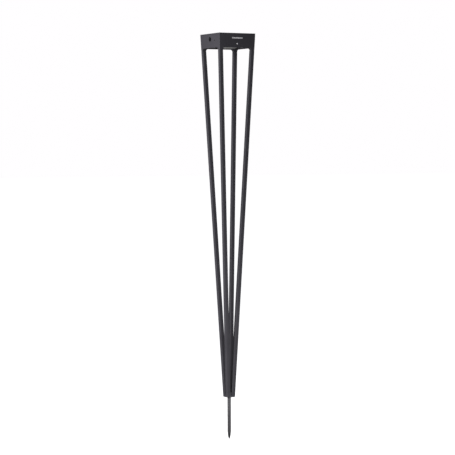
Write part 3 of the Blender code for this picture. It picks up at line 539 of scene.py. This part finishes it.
def floor_finish():
    """Pale matt studio floor. Only the camera sees it bright, so it doesn't light the torch from below."""
    made = Finish("studio_floor")
    fine = made.noise(3.0, 5.0, 0.6)
    pale = made.blend(made.spread(fine, 0.3, 0.7), (0.86, 0.86, 0.865), (0.88, 0.88, 0.885))
    seen = made.node("ShaderNodeLightPath").outputs["Is Camera Ray"]
    made.put("Base Color", made.blend(seen, (0.10, 0.10, 0.10), pale))
    made.put("Roughness", 0.9)
    made.put("Specular IOR Level", 0.0)
    return made.material


# ---------------------------------------------------------------- head

def opening_outline(top, radius, low):
    """Outline of the gap between two legs under the head: (across, height) with rounded top corners."""
    width = face(top) - LEG_SIDE
    points = [(-width, low), (-width, top - radius)]
    steps = 14
    for step in range(1, steps + 1):
        turn = math.radians(90) * step / steps
        points.append((-width + radius - radius * math.cos(turn), top - radius + radius * math.sin(turn)))
    return points + [(-across, height) for across, height in reversed(points)]


def head_tunnel(along):
    """A tunnel through the head's lower edge between the legs, along X or along Y."""
    outline = opening_outline(HEAD_BASE, STUB_LENGTH, COLLAR_LOW.z - REACH)
    ends = (-2 * COLLAR_HIGH.x, 2 * COLLAR_HIGH.x)
    if along == "X":
        return loft([[(end, across, height) for across, height in outline] for end in ends])
    return loft([[(across, end, height) for across, height in outline] for end in ends])


def screw_seat(thread, head, depth):
    """A clearance hole with a countersink, mouth up at height 0."""
    drop = head - thread
    return turned([
        (0, REACH), (head + GAP, REACH), (head + GAP, -drop * 0.15), (thread + GAP, -drop * 1.15),
        (thread + GAP, -depth), (0, -depth),
    ], 40)


def head_sleeve(paint):
    """The head's square sleeve, with its rounded corners where the legs join and its holes."""
    top = COLLAR_HIGH.z
    made = piece("head_sleeve", loft([
        square_ring(face(COLLAR_LOW.z), COLLAR_LOW.z, EDGE_RADIUS),
        square_ring(face(top), top, EDGE_RADIUS),
    ]), paint, "frame", ["head_collar"])
    above = top + 0.005
    carve(made, loft([
        square_ring(face(PAD_TOP) - COLLAR_WALL, PAD_TOP, EDGE_RADIUS),
        square_ring(face(above) - COLLAR_WALL, above, EDGE_RADIUS),
    ]))
    carve(made, head_tunnel("X"))
    carve(made, head_tunnel("Y"))
    pad_edge = face(HEAD_BASE) - LEG_SIDE - STUB_LENGTH - GAP
    wall = face(HEAD_BASE) - COLLAR_WALL
    low = HEAD_BASE - REACH
    high = PAD_TOP + REACH
    carve(made, block((-wall, -pad_edge, low), (wall, pad_edge, high)))
    carve(made, block((-pad_edge, -wall, low), (pad_edge, wall, high)))
    for x, y in CORNERS.values():
        seat = screw_seat(*HEAD_SCREW, 0.02)
        carve(made, moved(seat, (x * HEAD_SCREW_PLACE, y * HEAD_SCREW_PLACE, PAD_TOP)))
    reach = 0.006
    button = middle("button_cap")
    hole = rod(BUTTON_HOLE_RADIUS, -reach, reach, 72)
    carve(made, moved(hole, (-face(button.z), button.y, button.z), ALONG_X))
    lock = middle("lock_screw")
    bore = (LOCK_HIGH.y - LOCK_LOW.y) / 2 + GAP
    carve(made, moved(rod(bore, -reach, reach, 32), (-face(lock.z), lock.y, lock.z), ALONG_X))
    lens = middle("status_lens")
    carve(made, moved(rod(LENS_HOLE_RADIUS, -reach, reach, 40), (0, -face(lens.z), lens.z), ALONG_Y))
    round_edges(made, 0.0005)


def middle(node):
    """The middle of a CAD node's box."""
    low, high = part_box(node)
    return (low + high) / 2


def front_stripe(ink):
    """A plain pale stripe on the front, with round ends."""
    drop = 0.0149
    length = 0.037
    width = 0.0036
    lift = 0.00012
    height = BEZEL_HIGH.z - drop
    outline = []
    radius = width / 2
    for side in (1, -1):
        for step in range(13):
            turn = math.radians(-90 + 180 * step / 12)
            across = length / 2 - radius + radius * math.cos(turn)
            outline.append((side * across, side * radius * math.sin(turn)))
    rings = [[(x, y, depth) for x, y in outline] for depth in (-0.0002, lift)]
    tilt = Matrix.Rotation(math.radians(90) + FACE_TILT, 4, "X")
    made = piece("front_stripe", moved(loft(rings), (0, -face(height), height), tilt), ink, "frame")
    round_edges(made, 0.00006, 2)


def status_window(finish):
    """The frosted lens of the status light, slightly domed, in the collar's front."""
    radius = (LENS_HIGH.x - LENS_LOW.x) / 2
    lens = middle("status_lens")
    profile = [(0, 0.0003)]
    for step in range(1, 7):
        turn = math.radians(90) * step / 6
        profile.append((radius * math.sin(turn), 0.0003 - 0.0005 * (1 - math.cos(turn))))
    profile += [(radius, -COLLAR_WALL + GAP), (0, -COLLAR_WALL + GAP)]
    outward = Matrix.Rotation(math.radians(90) + FACE_TILT, 4, "X")
    shape = moved(turned(profile, 40), (0, -face(lens.z), lens.z), outward)
    piece("status_window", shape, finish, "frame", ["status_lens"])


def hex_screw_shape(thread, head, length, socket):
    """A countersunk screw with a hex socket and a cut thread, head up at height 0."""
    drop = head - thread
    pitch = thread * 0.36
    rows = [(head - 0.00012, 0.0), (head, -0.00012), (head, -drop * 0.15), (thread * 0.98, -drop * 1.12)]
    height = rows[-1][1]
    step = pitch / 6
    while height > -length:
        rows.append((thread, height))
        height -= step
    rows.append((thread * 0.8, -length))
    steps = 36
    bm = bmesh.new()
    loops = []
    start = -drop * 1.3
    for radius, height in rows:
        ring = []
        for index in range(steps):
            turn = math.tau * index / steps
            depth = 0.0
            if radius == thread and height < start:
                phase = (height / pitch + index / steps) % 1.0
                depth = thread * 0.17 * (1 - abs(2 * phase - 1))
            size = radius - depth
            ring.append(bm.verts.new((size * math.cos(turn), size * math.sin(turn), height)))
        loops.append(ring)
    top_ring(bm, loops[0], socket, drop)
    bm.faces.new(loops[-1][::-1])
    for upper, lower in zip(loops, loops[1:]):
        for index in range(steps):
            after = (index + 1) % steps
            bm.faces.new((upper[index], upper[after], lower[after], lower[index]))
    bmesh.ops.recalc_face_normals(bm, faces=bm.faces)
    return bm


def top_ring(bm, rim, socket, drop):
    """Closes a screw head's top with a hexagonal socket."""
    steps = len(rim)
    height = rim[0].co.z
    levels = [(socket * 1.08, height), (socket, height - 0.0001), (socket * 0.98, height - drop * 0.9)]
    last = rim
    for radius, level in levels:
        ring = []
        for index in range(steps):
            turn = math.tau * index / steps
            side = (turn + math.pi / 6) % (math.pi / 3) - math.pi / 6
            reach = radius * math.cos(math.pi / 6) / math.cos(side)
            ring.append(bm.verts.new((reach * math.cos(turn), reach * math.sin(turn), level)))
        for index in range(steps):
            after = (index + 1) % steps
            bm.faces.new((last[index], ring[index], ring[after], last[after]))
        last = ring
    bm.faces.new(last)


def flat_screws(prefix, node_prefix, names, radii, steel, body, upward):
    """The visible screws that stand for the CAD's plain ones."""
    thread, head = radii
    for name in names:
        low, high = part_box(f"{node_prefix}_{name}")
        centre = (low + high) / 2
        shape = hex_screw_shape(thread, head, high.z - low.z, thread * 0.8)
        turn = UPSIDE_DOWN if upward else Matrix.Identity(4)
        place = (centre.x, centre.y, low.z if upward else high.z)
        piece(f"{prefix}_{name}", moved(shape, place, turn), steel, body,
              [f"{node_prefix}_{name}"])


def set_screw(steel):
    """The socket set screw sunk in the collar's left wall."""
    radius = (LOCK_HIGH.y - LOCK_LOW.y) / 2
    length = LOCK_HIGH.x - LOCK_LOW.x
    shape = turned([(0, 0), (radius - 0.0002, 0), (radius, 0.0002), (radius, length), (0, length)], 32)
    centre = middle("lock_screw")
    place = (LOCK_LOW.x, centre.y, centre.z)
    made = piece("set_screw", moved(shape, place, ALONG_X), steel, "frame", ["lock_screw"])
    socket = radius * 0.55
    depth = length * 0.6
    carve(made, moved(turned([
        (0, -REACH), (radius * 0.62, -REACH), (socket, 0.0002), (socket, depth), (0, depth),
    ], 6), place, ALONG_X))


# ---------------------------------------------------------------- legs and foot

def leg_tube(name, signs, paint):
    """A square tube with rolled edges, flush with the head's faces."""
    half = LEG_SIDE / 2
    wall = 0.0012
    roll = 0.0004
    levels = [
        (half - roll, LEG_LOW.z, EDGE_RADIUS - roll), (half, LEG_LOW.z + roll, EDGE_RADIUS),
        (half, LEG_HIGH.z - roll, EDGE_RADIUS), (half - roll, LEG_HIGH.z, EDGE_RADIUS - roll),
        (half - wall, LEG_HIGH.z, EDGE_RADIUS / 2), (half - wall, LEG_LOW.z, EDGE_RADIUS / 2),
    ]
    rings = []
    for size, height, radius in levels:
        centre = face(height) - half
        rings.append(square_ring(size, height, radius, (signs[0] * centre, signs[1] * centre)))
    piece(f"leg_tube_{name}", loft(rings, closed=True), paint, "frame",
          [f"leg_{name}"])


def foot_body(paint):
    """The foot under the legs: grooves on four sides, spike socket and screw seats below."""
    chamfer = 0.0008
    top = FOOT_HIGH.z
    made = piece("foot_body", loft([
        square_ring(face(0) - chamfer, 0, EDGE_RADIUS),
        square_ring(face(chamfer), chamfer, EDGE_RADIUS),
        square_ring(face(top), top, EDGE_RADIUS),
    ]), paint, "frame", ["foot_block"])
    half_gap = face(top) - LEG_SIDE
    bottom = face(top) - 0.0035
    base = 0.005
    for side in (-1, 1):
        ends = sorted((side * bottom, side * 2 * face(top)))
        carve(made, block((ends[0], -half_gap, base), (ends[1], half_gap, top + REACH)))
        carve(made, block((-half_gap, ends[0], base), (half_gap, ends[1], top + REACH)))
    socket = STUD_BORE_RADIUS
    mouth = socket + 0.0006
    depth = 0.012
    carve(made, turned([
        (0, depth), (socket, depth), (socket, 0.0004), (mouth, -0.0002), (mouth, -REACH), (0, -REACH),
    ], 64))
    for x, y in CORNERS.values():
        seat = screw_seat(*FOOT_SCREW, top + REACH)
        carve(made, moved(seat, (x * FOOT_SCREW_PLACE, y * FOOT_SCREW_PLACE, 0), UPSIDE_DOWN))
    round_edges(made, 0.0004)


# ---------------------------------------------------------------- ground spike

def ground_bar(steel):
    """The spike: a pointed bar with a shoulder and a cut M8 thread on its stud."""
    radius = (SPIKE_HIGH.x - SPIKE_LOW.x) / 2
    shoulder = WASHER_LOW.z - GAP
    stud = STUD_RADIUS
    depth = 0.00066
    pitch = THREAD_PITCH
    point = SPIKE_LOW.z + SPIKE_POINT
    rows = []
    for height, size in (
        (SPIKE_LOW.z, 0.0), (SPIKE_LOW.z + 0.0002, 0.0006), (SPIKE_LOW.z + 0.0008, 0.0012),
        (SPIKE_LOW.z + 0.0056, 0.0031), (SPIKE_LOW.z + 0.0060, 0.0033),
        (point - 0.0006, radius - 0.0002), (point + 0.0008, radius), (shoulder - 0.02, radius),
        (shoulder - 0.0005, radius), (shoulder - 0.0001, radius - 0.0003), (shoulder, radius - 0.0005),
    ):
        rows.append((size, height, False))
    height = shoulder
    while height < SPIKE_HIGH.z - 0.0008:
        rows.append((stud, height, True))
        height += pitch / 8
    rows.append((stud - 0.0008, SPIKE_HIGH.z, False))
    rows.append((0.0, SPIKE_HIGH.z, False))
    steps = 48
    bm = bmesh.new()
    loops = []
    for size, height, cut in rows:
        if size == 0.0:
            loops.append([bm.verts.new((0, 0, height))])
            continue
        ring = []
        for index in range(steps):
            turn = math.tau * index / steps
            inset = 0.0
            if cut:
                phase = (height / pitch - index / steps) % 1.0
                rise = min(1.0, (height - shoulder) / 0.0012)
                inset = depth * rise * min(1.0, max(0.0, 1.25 * (1 - abs(2 * phase - 1)) - 0.1))
            reach = size - inset
            ring.append(bm.verts.new((reach * math.cos(turn), reach * math.sin(turn), height)))
        loops.append(ring)
    for lower, upper in zip(loops, loops[1:]):
        for index in range(steps):
            after = (index + 1) % steps
            corners = [lower[place % len(lower)] for place in (index, after)]
            corners += [upper[place % len(upper)] for place in (after, index)]
            bm.faces.new(list(dict.fromkeys(corners)))
    bmesh.ops.recalc_face_normals(bm, faces=bm.faces)
    piece("spike_bar", bm, steel, "spike", ["ground_spike"])


def washer_ring(steel):
    """The stamped washer: one rolled edge, one sharp."""
    outer = (WASHER_HIGH.x - WASHER_LOW.x) / 2
    inner = STUD_BORE_RADIUS
    low = WASHER_LOW.z
    high = WASHER_HIGH.z
    roll = 0.0004
    profile = [(inner, low), (inner, high - roll / 2), (inner + roll / 2, high), (outer - roll, high)]
    for step in range(1, 5):
        turn = math.radians(90) * step / 4
        profile.append((outer - roll + roll * math.sin(turn), high - roll + roll * math.cos(turn)))
    profile += [(outer, low + 0.0001), (outer - 0.0001, low)]
    piece("washer_ring", turned(profile, 64, ring=True), steel, "washer", ["spike_washer"])


# ---------------------------------------------------------------- lamp module

def bezel_frame(paint):
    """The painted frame around the solar glass."""
    rim = BEZEL_HIGH.z
    low = rim - 0.003
    seat = rim - 0.002
    recess = GLASS_HIGH.x + GAP
    opening = CELLS_HIGH.x + GAP
    made = piece("bezel_frame", loft([
        square_ring(face(low), low, EDGE_RADIUS),
        square_ring(BEZEL_HIGH.x, rim, EDGE_RADIUS),
        square_ring(recess, rim, EDGE_RADIUS),
        square_ring(recess, seat, EDGE_RADIUS),
        square_ring(opening, seat, EDGE_RADIUS),
        square_ring(opening, low, EDGE_RADIUS),
    ], closed=True), paint, "lamp_module", ["top_bezel"])
    for x, y in CORNERS.values():
        boss = turned([
            (0.0018, low + REACH), (0.0034, low + REACH), (0.0034, BEZEL_LOW.z), (0.0018, BEZEL_LOW.z),
        ], 32, ring=True)
        carve(made, moved(boss, (x * BEZEL_SCREW_PLACE, y * BEZEL_SCREW_PLACE, 0)), "UNION")
    round_edges(made, 0.00035)


def glass_pane(glass):
    """The toughened cover glass with ground edges."""
    low = GLASS_LOW.z
    high = GLASS_HIGH.z
    half = GLASS_HIGH.x
    ground = 0.0003
    piece("glass_pane", loft([
        square_ring(half - ground, low, EDGE_RADIUS),
        square_ring(half, low + ground, EDGE_RADIUS),
        square_ring(half, high - ground, EDGE_RADIUS),
        square_ring(half - ground, high, EDGE_RADIUS),
    ]), glass, "lamp_module", ["solar_glass"])


def cell_sheet(backing, silicon, ribbon):
    """The laminate under the glass: a black sheet, twelve silicon strips and the ribbons that join them."""
    half = CELLS_HIGH.x
    top = CELLS_HIGH.z
    sheet = top - 0.0004
    piece("cell_backing", loft([
        square_ring(half, CELLS_LOW.z, EDGE_RADIUS),
        square_ring(half, sheet, EDGE_RADIUS),
    ]), backing, "lamp_module", ["solar_cells"])
    columns = 2
    rows = 6
    edge = 0.0022
    gap = 0.0012
    width = (2 * half - 2 * edge - (columns - 1) * gap) / columns
    depth = (2 * half - 2 * edge - (rows - 1) * gap) / rows
    corner = 0.0022
    cells = []
    ribbons = []
    for column in range(columns):
        left = -half + edge + column * (width + gap)
        for row in range(rows):
            near = -half + edge + row * (depth + gap)
            outline = [
                (left + corner, near), (left + width - corner, near), (left + width, near + corner),
                (left + width, near + depth - corner), (left + width - corner, near + depth),
                (left + corner, near + depth), (left, near + depth - corner), (left, near + corner),
            ]
            levels = (sheet - 0.0001, sheet + 0.00022)
            cells.append(loft([[(x, y, z) for x, y in outline] for z in levels]))
        for share in (0.25, 0.75):
            middle_x = left + share * width
            ribbons.append(block((middle_x - 0.0006, -half + 0.0012, sheet - 0.0001),
                                 (middle_x + 0.0006, half - 0.0012, sheet + 0.0003)))
    for end in (-half + 0.0008, half - 0.0018):
        ribbons.append(block((-half + edge + 0.002, end, sheet - 0.0001),
                             (half - edge - 0.002, end + 0.001, sheet + 0.00033)))
    piece("cell_strips", joined(cells), silicon, "lamp_module")
    piece("cell_ribbons", joined(ribbons), ribbon, "lamp_module")


def housing_tray(plastic):
    """The moulded housing: drafted walls, posts, light well and windows."""
    low = HOUSING_LOW.z
    high = HOUSING_HIGH.z
    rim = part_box("bezel_gasket")[0].z - GAP
    inset = face(rim) - HOUSING_HIGH.x
    floor = low + 0.0025
    made = piece("housing_tray", loft([
        square_ring(face(low) - inset, low, EDGE_RADIUS),
        square_ring(face(rim) - inset, rim, EDGE_RADIUS),
        square_ring(face(rim) - inset - HOUSING_WALL, rim, EDGE_RADIUS / 2),
        square_ring(face(floor) - inset - HOUSING_WALL, floor, EDGE_RADIUS / 2),
    ]), plastic, "lamp_module", ["module_housing"])
    well = floor + 0.009
    light = LIGHT_RADIUS
    post_top = floor + 0.0262
    for x, y in CORNERS.values():
        post = rod(0.004, floor - REACH, post_top, 32)
        carve(made, moved(post, (x * BEZEL_SCREW_PLACE, y * BEZEL_SCREW_PLACE, 0)), "UNION")
    carve(made, rod(light + 0.0056, floor - REACH, well, 96), "UNION")
    carve(made, turned([
        (0, well + REACH), (light, well + REACH), (light, floor + 0.0005), (light + 0.0032, floor + 0.0005),
        (light + 0.0032, low - REACH), (0, low - REACH),
    ], 96))
    for x, y in CORNERS.values():
        carve(made, moved(turned([
            (0, post_top + REACH), (0.0018, post_top + REACH), (0.0018, low + 0.0035), (0.0032, low + 0.0035),
            (0.0032, low - REACH), (0, low - REACH),
        ], 40), (x * BEZEL_SCREW_PLACE, y * BEZEL_SCREW_PLACE, 0)))
    for index in range(3):
        screw = middle(f"ring_screw_{index + 1}")
        carve(made, moved(rod(0.0015, low - REACH, floor + REACH, 24), (screw.x, screw.y, 0)))
    button = middle("button_cap")
    wall = face(button.z) - inset - HOUSING_WALL / 2
    reach = 0.004
    hole = rod(BUTTON_WELL_RADIUS, -reach, reach, 64)
    carve(made, moved(hole, (-wall, button.y, button.z), ALONG_X))
    lens = middle("status_lens")
    wall = face(lens.z) - inset - HOUSING_WALL / 2
    carve(made, moved(rod(LENS_HOLE_RADIUS, -reach, reach, 32), (0, -wall, lens.z), ALONG_Y))
    round_edges(made, 0.0004)


def light_window(opal):
    """The opal diffuser: a shallow dome with a flange."""
    seat = (WINDOW_HIGH.x - WINDOW_LOW.x) / 2
    top = WINDOW_HIGH.z
    flange = HOUSING_LOW.z
    neck = seat - 0.0036
    edge = flange - 0.0020
    dome = edge - WINDOW_LOW.z
    profile = [(0, top), (seat - 0.0002, top), (seat, top - 0.0002), (seat, flange), (neck, flange)]
    steps = 16
    for step in range(steps):
        turn = math.radians(90) * step / steps
        profile.append((neck * math.cos(turn), edge - dome * math.sin(turn)))
    profile.append((0, WINDOW_LOW.z))
    piece("light_window", turned(profile, 96), opal, "lamp_module", ["diffuser"])


def clamp_ring(plastic):
    """The ring that holds the diffuser, with rolled edges and three screw seats."""
    outer = (RING_HIGH.x - RING_LOW.x) / 2
    inner = 0.0286
    base = RING_LOW.z
    top = RING_HIGH.z
    roll = 0.0008
    profile = [(outer, top)]
    for step in range(6):
        turn = math.radians(90) * step / 5
        profile.append((outer - roll + roll * math.cos(turn), base + roll - roll * math.sin(turn)))
    for step in range(6):
        turn = math.radians(90) * step / 5
        profile.append((inner + roll - roll * math.sin(turn), base + roll - roll * math.cos(turn)))
    profile.append((inner, top))
    made = piece("clamp_ring", turned(profile, 120, ring=True), plastic, "lamp_module",
                 ["diffuser_ring"])
    for index in range(3):
        screw = middle(f"ring_screw_{index + 1}")
        carve(made, moved(screw_seat(*RING_SCREW, 0.004), (screw.x, screw.y, base), UPSIDE_DOWN))
    made.data.shade_smooth()
    made.data.set_sharp_from_angle(angle=SHARP_ANGLE)


def cap_screws(steel):
    """The long screws whose round heads sit in the housing's corner posts."""
    for name in CORNERS:
        low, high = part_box(f"bezel_screw_{name}")
        centre = (low + high) / 2
        head = (high.x - low.x) / 2
        thread = BEZEL_SCREW_THREAD
        length = high.z - low.z
        body = turned([
            (0, length), (thread - 0.0003, length), (thread, length - 0.0004), (thread, 0.0024),
            (head - 0.0004, 0.0024), (head, 0.0020), (head, 0.0003), (head - 0.0003, 0), (0, 0),
        ], 40)
        made = piece(f"cap_bolt_{name}", moved(body, (centre.x, centre.y, low.z)), steel, "lamp_module",
                     [f"bezel_screw_{name}"])
        carve(made, moved(turned([(0, 0.0014), (0.0012, 0.0014), (0.0012, -REACH), (0, -REACH)], 6),
                          (centre.x, centre.y, low.z)))


def button_face(rubber):
    """The push button: dished face with a raised rim, flange and stem."""
    face_x = BUTTON_LOW.x
    radius = BUTTON_RADIUS
    flange_radius = (BUTTON_HIGH.z - BUTTON_LOW.z) / 2
    length = BUTTON_HIGH.x - BUTTON_LOW.x
    wall = 0.00271
    dish = 0.0005
    profile = [(0, dish)]
    for step in range(1, 9):
        share = step / 8
        profile.append((share * (radius - 0.0012), dish * (1 - share ** 2)))
    profile += [(radius - 0.0006, 0), (radius - 0.0002, 0.0001), (radius, 0.0005), (radius, wall)]
    stem = BUTTON_STEM_RADIUS
    profile += [(flange_radius, wall), (flange_radius, wall + 0.001), (stem, wall + 0.001)]
    profile += [(stem, length), (0, length)]
    centre = middle("button_cap")
    shape = moved(turned(profile, 72), (face_x, centre.y, centre.z), ALONG_X)
    piece("button_face", shape, rubber, "button", ["button_cap"])


# ---------------------------------------------------------------- inner parts that keep their CAD shape

def finish_inner_parts(finishes):
    """Gives every CAD node the finish of its slot."""
    for entry in frame["record"]["subparts"]:
        node = frame["nodes"][entry["node"]]
        node.data.materials.clear()
        node.data.materials.append(finishes[entry["material_slot"]])


# ---------------------------------------------------------------- studio

def aim(item, target):
    """Points a camera or a lamp at a place."""
    item.rotation_euler = (Vector(target) - item.location).to_track_quat("-Z", "Y").to_euler()


def soft_box(name, place, target, size, power, colour):
    """A rectangular studio lamp."""
    lamp = bpy.data.lights.new(name, "AREA")
    lamp.shape = "RECTANGLE"
    lamp.size, lamp.size_y = size
    lamp.energy = power
    lamp.color = colour
    made = bpy.data.objects.new(name, lamp)
    bpy.context.scene.collection.objects.link(made)
    made.location = place
    made.visible_camera = False
    aim(made, target)


def studio():
    """Pale floor, white surround, an overhead light, a soft box on the left and a small one by the foot."""
    floor_half = 60.0
    bm = bmesh.new()
    bmesh.ops.create_grid(bm, x_segments=2, y_segments=2, size=floor_half)
    mesh = bpy.data.meshes.new("floor")
    moved(bm, (0, 0, SPIKE_LOW.z)).to_mesh(mesh)
    bm.free()
    mesh.materials.append(floor_finish())
    floor = bpy.data.objects.new("floor", mesh)
    bpy.context.scene.collection.objects.link(floor)

    world = bpy.data.worlds.new("studio")
    bpy.context.scene.world = world
    world.use_nodes = True
    tree = world.node_tree
    background = tree.nodes["Background"]
    seen = tree.nodes.new("ShaderNodeLightPath").outputs["Is Camera Ray"]
    shade = tree.nodes.new("ShaderNodeMix")
    shade.data_type = "RGBA"
    shade.inputs[6].default_value = (0.14, 0.14, 0.15, 1)
    shade.inputs[7].default_value = (1.0, 0.99, 1.0, 1)
    tree.links.new(seen, shade.inputs[0])
    tree.links.new(shade.outputs[2], background.inputs["Color"])

    sun = bpy.data.lights.new("overhead", "SUN")
    sun.energy = 3.3
    sun.angle = math.radians(50)
    lamp = bpy.data.objects.new("overhead", sun)
    bpy.context.scene.collection.objects.link(lamp)

    middle_height = (CAD_BOX[0][2] + CAD_BOX[1][2]) / 2
    target = (0, 0, middle_height)
    white = (1.0, 0.99, 1.0)
    soft_box("key", (-2.4, -0.5, middle_height + 0.7), target, (1.4, 1.2), 80, white)
    soft_box("low_fill", (-0.12, -0.55, 0.06), (0, 0, 0.03), (0.5, 0.25), 1.6, white)


def camera():
    """The camera: far away, a little above the middle, with a long lens."""
    azimuth = math.radians(VIEW_AZIMUTH)
    rise = math.radians(VIEW_ELEVATION)
    level = math.cos(rise)
    back = Vector((math.sin(azimuth) * level, -math.cos(azimuth) * level, math.sin(rise)))
    right = Vector((math.cos(azimuth), math.sin(azimuth), 0))
    target = Vector((0, 0, VIEW_HEIGHT)) + VIEW_SIDESTEP * right
    data = bpy.data.cameras.new("camera")
    data.lens = LENS_LENGTH
    data.sensor_width = 36
    made = bpy.data.objects.new("camera", data)
    bpy.context.scene.collection.objects.link(made)
    made.location = target + VIEW_DISTANCE * back
    aim(made, target)
    made.rotation_euler.rotate_axis("Z", math.radians(VIEW_ROLL))
    bpy.context.scene.camera = made


# ---------------------------------------------------------------- the whole model

def main():
    scene = bpy.context.scene
    scene.view_settings.view_transform = "Standard"
    camera()
    studio()
    paint = powder_coat()
    steel = turned_steel("stainless_steel_turned", (0.42, 0.42, 0.43), (0.60, 0.60, 0.61))
    dark_steel = turned_steel("dark_steel_turned", (0.10, 0.10, 0.105), (0.17, 0.17, 0.175),
                              (0.45, 0.60), rim=0.25)
    plastic = moulded_plastic("black_moulded_plastic", (0.014, 0.014, 0.015), (0.022, 0.022, 0.024))
    white = moulded_plastic("white_moulded_plastic", (0.74, 0.74, 0.73), (0.80, 0.80, 0.79),
                            edge=(0.86, 0.86, 0.85))
    # This rubber is coloured darker than real rubber: painted shade for the button's recess.
    rubber = silicone_darkened_as_painted_shade()
    opal = opal_plastic("opal_plastic", (0.86, 0.86, 0.82))
    finish_inner_parts({
        "anthracite_paint": paint,
        "stainless_steel": steel,
        "black_plastic": plastic,
        "rubber": rubber,
        "clear": clear_cover("clear_acrylic", (0.95, 0.97, 0.97)),
        "solar_cells": speckled("cell_backing_black", (0.008, 0.008, 0.010), (0.014, 0.014, 0.017)),
        "battery_wrap": speckled("battery_sleeve", (0.03, 0.12, 0.36), (0.05, 0.17, 0.45), (0.22, 0.34)),
        "circuit_board": circuit_resin(),
        "chip_black": speckled("chip_resin", (0.012, 0.012, 0.014), (0.026, 0.026, 0.028)),
        "status_lamp": speckled("lamp_resin", (0.70, 0.80, 0.66), (0.80, 0.90, 0.76), (0.15, 0.25)),
        "aluminium": speckled("milled_aluminium", (0.62, 0.62, 0.64), (0.78, 0.78, 0.80), (0.30, 0.42), 1.0),
        "white_plastic": white,
        "led_phosphor": speckled("led_silicone", (0.80, 0.58, 0.06), (0.92, 0.72, 0.12), (0.30, 0.42)),
        "opal": opal,
        "wire_red": speckled("red_insulation", (0.40, 0.02, 0.015), (0.50, 0.04, 0.03)),
        "wire_yellow": speckled("yellow_insulation", (0.55, 0.40, 0.04), (0.66, 0.50, 0.07)),
    })
    head_sleeve(paint)
    front_stripe(plain_print())
    status_window(opal_plastic("frosted_lens", (0.80, 0.80, 0.82)))
    set_screw(dark_steel)
    flat_screws("head_bolt", "head_screw", CORNERS, HEAD_SCREW, steel, "frame", False)
    for name, signs in CORNERS.items():
        leg_tube(name, signs, paint)
    foot_body(paint)
    flat_screws("foot_bolt", "foot_screw", CORNERS, FOOT_SCREW, steel, "frame", True)
    ground_bar(dark_steel)
    washer_ring(dark_steel)
    bezel_frame(paint)
    glass_pane(clear_cover("cover_glass", (0.97, 0.985, 0.98)))
    ribbon = speckled("tinned_ribbon", (0.42, 0.42, 0.43), (0.55, 0.55, 0.56), (0.30, 0.40), 1.0)
    backsheet = speckled("cell_backsheet", (0.006, 0.006, 0.008), (0.010, 0.010, 0.013))
    cell_sheet(backsheet, cell_silicon(), ribbon)
    housing_tray(white)
    light_window(opal)
    clamp_ring(plastic)
    flat_screws("ring_bolt", "ring_screw", ("1", "2", "3"), RING_SCREW, steel, "lamp_module", True)
    cap_screws(steel)
    button_face(rubber)


main()
